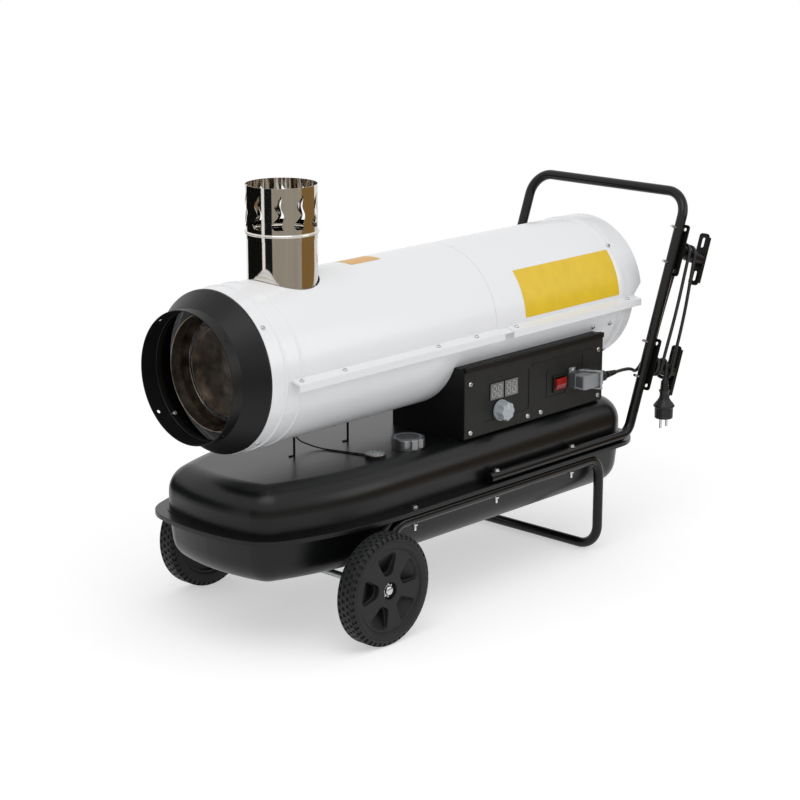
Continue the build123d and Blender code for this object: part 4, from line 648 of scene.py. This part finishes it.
def piece(name, shape, finish, body="heater", stands_for=(), sharp=38.0):
    """Finish a shape as an object that rides on a body."""
    mesh = pattern(name, shape)
    for face in mesh.polygons:
        face.use_smooth = True
    mesh.set_sharp_from_angle(angle=math.radians(sharp))
    mesh.materials.append(finish)
    thing = new_object(name, mesh)
    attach(thing, body)
    if stands_for:
        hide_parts(*stands_for)
    print(name, len(mesh.polygons), "faces")
    return thing


print("tools for small pieces ready")

# %% [markdown]
# ## Screws
# All sheet screws are zinc-plated pan heads with a cross recess. The head is turned, and the
# recess is a cross-shaped opening whose rim is bridged to the round one, with its floor inset
# and sunk. The CAD screws are plain discs, so the detailed ones stand for them at the same
# places: on the flanges, round the outlet, on the shell and at the corners of the panel. A
# barrel screw's place is its x, its angle and how far it stands off the barrel.

# %% Make the screws


def pan_head(name, radius, height):
    """A pan head with a cross recess, its seat at zero and its top along +Z."""
    shape = bmesh.new()
    lathe(shape, [(0.0, -2.0), (0.45 * radius, -2.0), (0.45 * radius, 0.0), (radius, 0.0),
                  (radius, 0.35 * height), (0.92 * radius, 0.7 * height),
                  (0.74 * radius, height), (0.60 * radius, height)], steps=24)
    rim = [edge for edge in shape.edges if edge.is_boundary]
    wide, arm = 0.13 * radius * MM, 0.48 * radius * MM
    corners = [(arm, -wide), (arm, wide), (wide, wide), (wide, arm), (-wide, arm), (-wide, wide),
               (-arm, wide), (-arm, -wide), (-wide, -wide), (-wide, -arm), (wide, -arm),
               (wide, -wide)]
    cross = [shape.verts.new((x, y, height * MM)) for x, y in corners]
    sides = [shape.edges.new(pair) for pair in zip(cross, cross[1:] + cross[:1])]
    halves = bmesh.ops.subdivide_edges(shape, edges=sides, cuts=1)["geom_split"]
    loop = [item for item in halves if isinstance(item, bmesh.types.BMEdge)]
    bmesh.ops.bridge_loops(shape, edges=rim + loop)
    floor_face = bmesh.ops.contextual_create(shape, geom=loop)["faces"]
    sunk = bmesh.ops.extrude_face_region(shape, geom=floor_face)["geom"]
    bmesh.ops.delete(shape, geom=floor_face, context="FACES_ONLY")
    bottom = [item for item in sunk if isinstance(item, bmesh.types.BMVert)]
    bmesh.ops.translate(shape, vec=(0, 0, -0.45 * height * MM), verts=bottom)
    bmesh.ops.scale(shape, vec=(0.8, 0.8, 1.0), verts=bottom)
    return pattern(name, shape)


BODY_Z, BODY_R = 461.3, 137.5
SEAM_SCREWS = (-101.7, -2.3, 226.6, 326.4, 434.3, 758.8)
SEAM_OUT, SEAM_DROP, SEAM_LEAN = 146.9, 0.35, 0.2571
CONE_SCREWS = [(-146.0, angle, 0.2) for angle in (40.0, -50.0, 140.0, 230.0)]
SHELL_SCREWS = [(676.8, -18.6, 0.2), (728.5, -19.0, 0.2), (777.8, -55.0, 0.2), (755.9, 43.7, 1.8)]
PANEL_Y = -152.1
PANEL_SCREWS = [(304, 292), (304, 380), (666, 292), (666, 380), (461, 292), (498, 292)]


def on_barrel(x, angle, out):
    """A place and its outward way on the barrel, at an angle above the panel side."""
    way = Vector((0, -math.cos(math.radians(angle)), math.sin(math.radians(angle))))
    return point(x, 0, BODY_Z) + way * out * MM, way


seam_pan = pan_head("seam_pan_head", 4.2, 2.4)
panel_pan = pan_head("panel_pan_head", 4.8, 2.8)
seats = [(seam_pan, point(x, side * SEAM_OUT, BODY_Z - SEAM_DROP), (0, side * SEAM_LEAN, 1), 0.7)
         for x in SEAM_SCREWS for side in (-1, 1)]
seats += [(seam_pan, *on_barrel(x, angle, BODY_R + lift), 0.9)
          for x, angle, lift in CONE_SCREWS + SHELL_SCREWS]
seats += [(panel_pan, point(x, PANEL_Y - 0.1, z), (0, -1, 0), 1.1) for x, z in PANEL_SCREWS]
screw_shape = bmesh.new()
for number, (head, place, way, turn) in enumerate(seats):
    stamp(screw_shape, head, facing(place, way, turn * number))
piece("pan_screws", screw_shape, zinc_plate, stands_for=["screws"])
print("screws", len(seats))

# %% [markdown]
# ## Bolts through the tank's flange
# Six bolts clamp the tank halves, and four of them the handle too. Each has a low hexagon head
# on top, and under the foot frame's tube a nut with the bolt's end standing out of it. We turn
# the hexagons from a six-sided cone primitive and ease their edges, which is what catches the
# light on a real bolt.

# %% Make the flange bolts
FLANGE_TOP = 203.8
TUBE_UNDER = 185.3 - 9.25
HANDLE_FRONT, HANDLE_THICK = 317.0, 19.0
BOLT_SPOTS = [(x, side) for x in (124.3, 337.3, 549.2) for side in (-1, 1)]
BOLT_OUT, BOLT_END, THREAD_PITCH = 186.7, 12.0, 0.5
HEX_BEVEL = 0.5


def hexagon(shape, radius, low, high, matrix=Matrix()):
    """A hexagon bar between two heights, with eased edges."""
    old = set(shape.verts)
    bmesh.ops.create_cone(shape, cap_ends=True, segments=6, radius1=radius * MM,
                          radius2=radius * MM, depth=(high - low) * MM,
                          matrix=Matrix.Translation((0, 0, (low + high) / 2 * MM)))
    ease(shape, added(shape, old), HEX_BEVEL)
    bmesh.ops.transform(shape, matrix=matrix, verts=added(shape, old))


bolt_shape = bmesh.new()
for x, side in BOLT_SPOTS:
    seat = FLANGE_TOP + (HANDLE_THICK if x > HANDLE_FRONT else 0.0)
    spot = Matrix.Translation(point(x, side * BOLT_OUT, 0))
    lathe(bolt_shape, [(0.0, seat), (6.5, seat), (6.5, seat + 0.9), (0.0, seat + 0.9)], spot, 24)
    hexagon(bolt_shape, 5.4, seat + 0.8, seat + 4.4, spot)
    hexagon(bolt_shape, 5.8, TUBE_UNDER - 3.5, TUBE_UNDER, spot)
    end = TUBE_UNDER - BOLT_END
    threads = [(2.7 + 0.3 * (step % 2), end + THREAD_PITCH * step) for step in range(18)]
    lathe(bolt_shape, [(0.0, end)] + threads + [(0.0, TUBE_UNDER - 3.0)], spot, 16)
piece("tank_bolts", bolt_shape, zinc_plate, stands_for=["flange_bolts"])

# %% [markdown]
# ## Tyres
# Each wheel is one moulding whose rim looks like a tyre: a flat tread with three staggered rows of
# pits, and notches over both shoulders. We spin the tyre's section first. Then the faces that
# make a pit are inset as a region and pushed in, which gives each pit its sloping sides.

# %% Make the tyres
AXLE_X, AXLE_Z = 10.9, 96.3
WHEEL_IN = 201.5
TREAD_STEPS = 96
SECTION = [
    (72.0, 3.2), (73.5, 1.2), (77.0, 0.6), (84.0, 0.6), (88.5, 1.0), (93.0, 2.8),
    (95.8, 5.2), (96.1, 7.0), (96.1, 12.6), (96.1, 15.6), (96.1, 22.6), (96.1, 25.6),
    (96.1, 31.2), (95.8, 33.0), (93.0, 35.4), (88.5, 37.2), (84.0, 37.7), (83.2, 37.2),
    (82.4, 37.7), (77.0, 37.7), (76.0, 37.0), (75.0, 37.4), (73.5, 37.0), (72.0, 35.2),
]
PIT_ROWS = {4: 1, 5: 1, 7: 0, 9: 1, 11: 0, 13: 1, 14: 1}
PIT_SLOPE, PIT_DEPTH = 0.8, 2.4


def wheel_frame(side):
    """A wheel's frame: its +Z is the axle's way out, from the wheel's inner side."""
    return facing(point(AXLE_X, side * WHEEL_IN, AXLE_Z), (0, side, 0))


def tyre_shape(side):
    """One tyre on its wheel's axis, with the pits of its tread pushed in."""
    shape = bmesh.new()
    lathe(shape, SECTION + SECTION[:1], steps=TREAD_STEPS)
    middles = [((r1 + r2) / 2, (h1 + h2) / 2) for (r1, h1), (r2, h2) in zip(SECTION, SECTION[1:])]
    pits = []
    for face in shape.faces:
        middle = face.calc_center_median()
        out, height = math.hypot(middle.x, middle.y) / MM, middle.z / MM
        row = min(range(len(middles)),
                  key=lambda i: abs(middles[i][0] - out) + abs(middles[i][1] - height))
        if row in PIT_ROWS and (step_of(middle, TREAD_STEPS) + PIT_ROWS[row]) % 2 == 0:
            pits.append(face)
    bmesh.ops.recalc_face_normals(shape, faces=shape.faces)
    bmesh.ops.inset_region(shape, faces=pits, thickness=PIT_SLOPE * MM, depth=-PIT_DEPTH * MM,
                           use_even_offset=True)
    bmesh.ops.transform(shape, matrix=wheel_frame(side), verts=shape.verts)
    return shape


for side, name in ((-1, "near"), (1, "far")):
    piece("tread_" + name, tyre_shape(side), wheel_black, "wheel_" + name,
          ["tyre_" + name], sharp=30.0)

# %% [markdown]
# ## Wheel rims
# The rim's face has five windows with a curved outer side and rounded corners. Their floor is a
# ramp that starts near the face at the tyre's side and gets deep towards the hub, with a ledge
# round it. We draw each window as a face with its corners bevelled, keep its outline, extrude the
# outline inwards in steps, and at last fill the rim's face between the outlines. A step is a share
# of the window's size, its depth, and its extra depth at the hub.

# %% Make the rims
RIM_FACE = 35.2
WINDOW_LOW, WINDOW_HIGH = 28.5, 67.5
WINDOW_LOW_HALF, WINDOW_SWING = 9.5, 20.5
WINDOW_CORNER = 6.0
WINDOWS, FIRST_WINDOW = 5, 98.0
RIM_SECTION = [
    (15.9, 35.2), (15.2, 34.6), (15.0, 28.2), (6.3, 28.2), (6.3, 1.5), (20.0, 1.5), (20.0, 8.0),
    (66.9, 8.0), (66.9, 3.0), (71.9, 3.0), (71.9, 34.8), (71.4, 35.2),
]
WINDOW_STEPS = [(0.97, 0.8, 2.0), (0.94, 1.6, 7.0), (0.87, 2.0, 8.0), (0.84, 3.0, 19.0)]


def window_outline(shape):
    """One window of the rim's face, centred on +X, as the edges of its outline."""
    old = set(shape.verts)
    swings = [math.radians(WINDOW_SWING * (step / 4 - 1)) for step in range(9)]
    spots = [(WINDOW_HIGH * math.cos(a), WINDOW_HIGH * math.sin(a)) for a in swings]
    spots += [(WINDOW_LOW, WINDOW_LOW_HALF), (WINDOW_LOW, -WINDOW_LOW_HALF)]
    corners = [shape.verts.new((x * MM, y * MM, RIM_FACE * MM)) for x, y in spots]
    bmesh.ops.contextual_create(shape, geom=corners)
    bmesh.ops.bevel(shape, geom=[corners[i] for i in (0, 8, 9, 10)], offset=WINDOW_CORNER * MM,
                    segments=5, profile=0.5, affect="VERTICES", material=-1)
    made = added(shape, old)
    loop = edges_of(made)
    sheet = list({face for vert in made for face in vert.link_faces})
    bmesh.ops.delete(shape, geom=sheet, context="FACES_ONLY")
    return loop


def sink_window(shape, loop):
    """Extrude a window's outline inwards in steps and close it with a sloping floor."""
    middle = (WINDOW_LOW + WINDOW_HIGH) / 2
    rims = {vert: vert.co.copy() for edge in loop for vert in edge.verts}
    old_edges = loop
    for share, depth, slope in WINDOW_STEPS:
        starts = {tuple(round(c, 7) for c in vert.co): first for vert, first in rims.items()}
        grown = bmesh.ops.extrude_edge_only(shape, edges=old_edges)["geom"]
        verts = [item for item in grown if isinstance(item, bmesh.types.BMVert)]
        rims = {vert: starts[tuple(round(c, 7) for c in vert.co)] for vert in verts}
        for vert, first in rims.items():
            lean = (WINDOW_HIGH - first.x / MM) / (WINDOW_HIGH - WINDOW_LOW)
            vert.co = Vector((middle * MM + (first.x - middle * MM) * share, first.y * share,
                              (RIM_FACE - depth - slope * lean) * MM))
        old_edges = [item for item in grown if isinstance(item, bmesh.types.BMEdge)
                     and all(vert in rims for vert in item.verts)]
    bmesh.ops.contextual_create(shape, geom=old_edges)


def rim_shape(side):
    """One rim on its wheel's axis."""
    shape = bmesh.new()
    lathe(shape, RIM_SECTION, steps=96)
    loops = [edge for edge in shape.edges if edge.is_boundary]
    for window in range(WINDOWS):
        old = set(shape.verts)
        loop = window_outline(shape)
        sink_window(shape, loop)
        swing = math.radians(-side * FIRST_WINDOW + 360 / WINDOWS * window)
        bmesh.ops.rotate(shape, cent=(0, 0, 0), matrix=Matrix.Rotation(swing, 3, "Z"),
                         verts=added(shape, old))
        loops += loop
    bmesh.ops.triangle_fill(shape, use_beauty=True, use_dissolve=False, edges=loops)
    bmesh.ops.transform(shape, matrix=wheel_frame(side), verts=shape.verts)
    return shape


for side, name in ((-1, "near"), (1, "far")):
    piece("windows_" + name, rim_shape(side), wheel_black, "wheel_" + name,
          ["rim_" + name], sharp=30.0)

# %% [markdown]
# ## Hub caps
# A push-on cap holds each wheel: a silver dome over a star ring whose teeth grip the axle, in a
# dark recess. Between frame and wheel sits a short sleeve.

# %% Make the hub caps
TEETH = 8
cap_shape = bmesh.new()
for side in (-1, 1):
    hub = wheel_frame(side)
    lathe(cap_shape, [(0.0, 36.2), (3.2, 36.0), (6.0, 35.2), (7.8, 33.8), (8.6, 31.8),
                      (8.6, 28.8), (0.0, 28.8)], hub, 32)
    lathe(cap_shape, [(8.5, 29.0), (9.8, 29.2), (9.8, 29.9), (8.5, 30.1), (8.5, 29.0)], hub, 32)
    for tooth in range(TEETH):
        ring_brick(cap_shape, (3.8, 3.0, 0.6), hub, math.tau * tooth / TEETH, 11.2, 29.6, 0.2)
    lathe(cap_shape, [(6.1, -4.4), (11.0, -4.4), (11.0, 1.2), (6.1, 1.2), (6.1, -4.4)], hub, 32)
piece("hub_caps", cap_shape, zinc_plate, stands_for=["axle_fittings"])

# %% [markdown]
# ## The outlet's inside
# Behind the black collar stands the liner, a bare steel ring with rolled edges and a swage, and
# behind it the drum's dished end. Rolled edges are what shows: each catches a thin light line.
# So the liner is turned again with its edges as small round beads. The collar gets a bead on its
# inner side and one screw that shows inside it.

# %% Make the liner, the collar's bead and its screw
liner_shape = bmesh.new()
outlet = facing(point(0, 0, BODY_Z), (1, 0, 0))
wall = [
    (97.4, -122.0), (97.4, -140.0), (95.6, -142.5), (95.6, -150.0), (97.4, -152.5),
    (97.4, -163.5), (97.9, -164.8), (99.0, -165.4), (100.1, -164.8), (100.1, -163.6),
    (99.0, -162.9), (99.0, -122.0), (97.4, -122.0),
]
lathe(liner_shape, wall, outlet, 96)
lathe(liner_shape, [(88.5, -131.6), (89.3, -132.8), (90.5, -132.8), (95.4, -129.0),
                    (97.2, -128.6), (97.2, -127.4), (94.8, -127.6), (90.0, -131.0),
                    (88.5, -131.6)], outlet, 96)
for quarter in range(4):
    ring_brick(liner_shape, (18.0, 9.0, 1.5), outlet, math.radians(45 + 90 * quarter), 88.0,
               -130.0, 0.3)
piece("liner_wall", liner_shape, heat_steel, stands_for=["liner_ring"])

bead_shape = bmesh.new()
lathe(bead_shape, [(110.1, -187.6), (109.4, -187.0), (109.1, -186.0), (109.4, -185.0),
                   (110.1, -184.4)], outlet, 96)
piece("collar_bead", bead_shape, outlet_coat)

bolt_seat, bolt_way = on_barrel(-181.0, 227.0, 107.6)
inner_bolt = bmesh.new()
stamp(inner_bolt, seam_pan, facing(bolt_seat, -bolt_way, 0.4))
lathe(inner_bolt, [(0.0, -9.0), (1.7, -9.0), (1.7, 0.4), (0.0, 0.4)],
      facing(bolt_seat, (1, 0, 0)), 12)
piece("collar_screw", inner_bolt, zinc_plate)

# %% [markdown]
# ## Displays and knob mark
# Each display is a grey block with two digits, and the unlit segments show as paler bars. A bar is
# a six-sided strip, seven to a digit, stamped on the plate that covers the display's front. The
# knob has one raised pointer.

# %% Make the displays
DISPLAY_X = (376.5, 416.0)
DISPLAY_Z = 355.0
BARS = [(0, 10.0, True), (0, 0.0, True), (0, -10.0, True), (-4.6, 5.0, False), (4.6, 5.0, False),
        (-4.6, -5.0, False), (4.6, -5.0, False)]
BAR_SLANT = 0.09
face_shape = bmesh.new()
bar_shape = bmesh.new()
bar = bmesh.new()
bmesh.ops.create_circle(bar, cap_ends=True, segments=6, radius=1.0)
bmesh.ops.scale(bar, vec=(4.0 * MM, 0.85 * MM, 1.0), verts=bar.verts)
raised = bmesh.ops.extrude_face_region(bar, geom=bar.faces[:])["geom"]
bmesh.ops.translate(bar, vec=(0, 0, 0.12 * MM),
                    verts=[item for item in raised if isinstance(item, bmesh.types.BMVert)])
segment = pattern("segment", bar)
upright = Matrix(((1, 0, 0), (0, 0, -1), (0, 1, 0))).to_4x4()
for display_x in DISPLAY_X:
    brick(face_shape, (35.6, 1.2, 29.6), point(display_x, PANEL_Y - 0.15, DISPLAY_Z), 0.4)
    for digit in (-7.6, 7.6):
        for across, up, lying in BARS:
            place = point(display_x + digit + across + BAR_SLANT * up, PANEL_Y - 0.74,
                          DISPLAY_Z + up)
            swing = Matrix.Rotation(0.0 if lying else math.radians(85), 4, "Z")
            stamp(bar_shape, segment, Matrix.Translation(place) @ upright @ swing)
piece("display_faces", face_shape, display_grey,
      stands_for=["display_windows"])
piece("display_segments", bar_shape, segment_pale)

KNOB_MARK = point(386.0, -171.9, 327.5)
mark_shape = bmesh.new()
brick(mark_shape, (1.8, 0.8, 10.0), KNOB_MARK, 0.3)
piece("knob_mark", mark_shape, white_print, "knob")

# %% [markdown]
# ## The connector's ear
# The connector's socket has an ear whose screw holds it to the panel, and a dark grey plate on the
# end of its hood is painted shade, for the shade that falls on that side.

# %% Make the ear and the plate of painted shade
EAR = point(586.5, PANEL_Y - 2.4, 354.5)
EAR_SCREW = point(586.5, PANEL_Y - 4.9, 355.5)
HOOD_END = point(580.0, -177.2, 337.5)
ear_shape = bmesh.new()
brick(ear_shape, (15.0, 5.0, 12.0), EAR, 1.2)
piece("connector_ear", ear_shape, connector_grey)
ear_screw = bmesh.new()
stamp(ear_screw, seam_pan, facing(EAR_SCREW, (0, -1, 0), 0.3))
piece("ear_screw", ear_screw, zinc_plate)
shade_plate_shape = bmesh.new()
# A dark grey plate on the hood's end: painted shade of the connector's left side.
brick(shade_plate_shape, (0.9, 15.5, 20.0), HOOD_END, 0.3)
piece("hood_end_painted_shade", shade_plate_shape, socket_grey_and_shade)

# %% [markdown]
# ## Filler cap and gauge
# The lobed cap is cast, and its flat top has a raised rim. The gauge is a flat olive-grey dial
# with a scale of fine ticks under its glass, in a thin dull bezel.

# %% Make the cap's top and the dial
FILLER = Matrix.Translation(point(195.0, -105.0, 0))
GAUGE = Matrix.Translation(point(112.0, -106.0, 0))
TICKS, TICK_ANGLE = 13, 10.0
cap_top = bmesh.new()
lathe(cap_top, [(0.0, 299.2), (20.5, 299.2), (21.5, 300.0), (24.0, 300.0), (24.8, 299.2),
                (24.8, 298.8), (0.0, 298.8)], FILLER, 64)
piece("cap_top", cap_top, cap_top_grey, "cap")

dial_shape = bmesh.new()
lathe(dial_shape, [(0.9, 282.2), (15.3, 282.2), (15.3, 282.32), (0.9, 282.32), (0.9, 282.2)],
      GAUGE, 48)
piece("gauge_dial", dial_shape, dial_olive)
tick_shape = bmesh.new()
for tick in range(TICKS):
    length, width, out = (3.6, 0.6, 13.0) if tick % 6 == 0 else (2.0, 0.35, 13.8)
    ring_brick(tick_shape, (length, width, 0.06), GAUGE, math.radians(TICK_ANGLE * tick), out,
               282.34)
piece("gauge_ticks", tick_shape, white_print)
bezel_shape = bmesh.new()
lathe(bezel_shape, [(15.5, 286.9), (16.0, 287.3), (17.2, 287.3), (17.7, 286.8), (17.9, 285.9),
                    (18.0, 281.2), (15.5, 281.2), (15.5, 286.9)], GAUGE, 64)
piece("gauge_rim", bezel_shape, dull_chrome)

# %% [markdown]
# ## Plug and strain relief
# The rubber plug is moulded round its pins: a ribbed neck that flexes with the cord, a waist, a
# flare for the fingers and a short drum with shallow grooves. It is turned, and then three in
# every five of the flare's and drum's faces are inset, which leaves the grip ribs. Where the cord
# leaves the connector, a tapered sleeve with rings keeps it from bending sharply.

# %% Make the plug
PLUG_FACE = point(PLUG_X, PLUG_Y, 229.0)
PLUG_STEPS = 40
GRIP_BANDS = ((2.0, 20.0), (28.0, 39.0))
plug_shape = bmesh.new()
neck = []
for rib in range(4):
    level = 55.5 + 4.6 * rib
    neck += [(8.4 - 0.35 * rib, level), (8.4 - 0.35 * rib, level + 2.6),
             (6.6 - 0.35 * rib, level + 3.0), (6.6 - 0.35 * rib, level + 4.2)]
lathe(plug_shape, [
    (0.0, 0.0), (16.4, 0.0), (17.3, 1.0), (17.5, 20.5), (18.6, 21.5), (20.3, 23.0), (20.3, 25.0),
    (18.2, 28.0), (13.2, 34.0), (10.2, 39.0), (8.9, 44.0), (8.8, 49.0), (10.4, 52.5), (10.8, 54.6),
] + neck + [(4.6, 75.6), (0.0, 75.6)], Matrix.Translation(PLUG_FACE), PLUG_STEPS)
grip = []
for face in plug_shape.faces:
    middle = face.calc_center_median() - PLUG_FACE
    gripped = any(low < middle.z / MM < high for low, high in GRIP_BANDS)
    if gripped and step_of(middle, PLUG_STEPS) % 5 < 3:
        grip.append(face)
bmesh.ops.recalc_face_normals(plug_shape, faces=plug_shape.faces)
bmesh.ops.inset_region(plug_shape, faces=grip, thickness=0.5 * MM, depth=-0.6 * MM,
                       use_even_offset=True)
plug = piece("plug_moulding", plug_shape, cord_rubber,
             stands_for=["plug_body"])

relief_shape = bmesh.new()
sleeve = facing(cord_exit, (1, 0, 0))
rings = []
for ring in range(7):
    level, out = 1.0 + 4.0 * ring, 6.6 - 0.36 * ring
    rings += [(out, level), (out, level + 2.4), (out - 1.1, level + 2.9), (out - 1.1, level + 3.6)]
lathe(relief_shape, [(3.3, 0.0), (6.8, 0.0)] + rings + [(3.6, 29.4), (3.3, 29.4), (3.3, 0.0)],
      sleeve, 32)
relief = piece("strain_relief", relief_shape, black_plastic)

# %% [markdown]
# ## Plain film labels
# Two plain film labels are on the barrel: a large yellow one along the rear cover and a small
# orange one on top, near the flue. Each is a thin sheet with rounded corners, cut into strips and
# bent round the barrel. It stands a quarter of a millimetre off the paint, so that its cut edge
# shows as a fine line.

# %% Stick the labels on
FILM_RADIUS = BODY_R + 0.25
FILM_THICK = 0.12
FILM_STRIPS = 24


def film(name, x_from, x_to, angle_from, angle_to, corner, finish):
    """A plain film label bent round the barrel."""
    length = x_to - x_from
    height = math.radians(angle_to - angle_from) * FILM_RADIUS
    shape = bmesh.new()
    corners = [shape.verts.new((x, y, 0)) for x, y in
               ((0, 0), (length, 0), (length, height), (0, height))]
    sheet = bmesh.ops.contextual_create(shape, geom=corners)["faces"]
    bmesh.ops.recalc_face_normals(shape, faces=sheet)
    bmesh.ops.bevel(shape, geom=corners, offset=corner, segments=5, profile=0.5,
                    affect="VERTICES", material=-1)
    for cut in range(1, FILM_STRIPS):
        bmesh.ops.bisect_plane(shape, geom=shape.verts[:] + shape.edges[:] + shape.faces[:],
                               plane_co=(0, height * cut / FILM_STRIPS, 0), plane_no=(0, 1, 0))
    for vert in shape.verts:
        angle = math.degrees(math.radians(angle_from) + vert.co.y / FILM_RADIUS)
        vert.co = on_barrel(x_from + vert.co.x, angle, FILM_RADIUS)[0]
    for face in shape.faces:
        face.normal_update()
        middle = face.calc_center_median() - point(0, 0, BODY_Z)
        if face.normal.dot(Vector((0, middle.y, middle.z))) < 0:
            face.normal_flip()
    bmesh.ops.solidify(shape, geom=shape.faces[:], thickness=FILM_THICK * MM)
    return piece(name, shape, finish, sharp=60.0)


film("side_label", 471.6, 750.0, 3.5, 41.0, 3.0, yellow_film)
film("top_label", 146.0, 219.0, 82.5, 99.0, 2.0, orange_film)

print("cord ends in", plug.name)
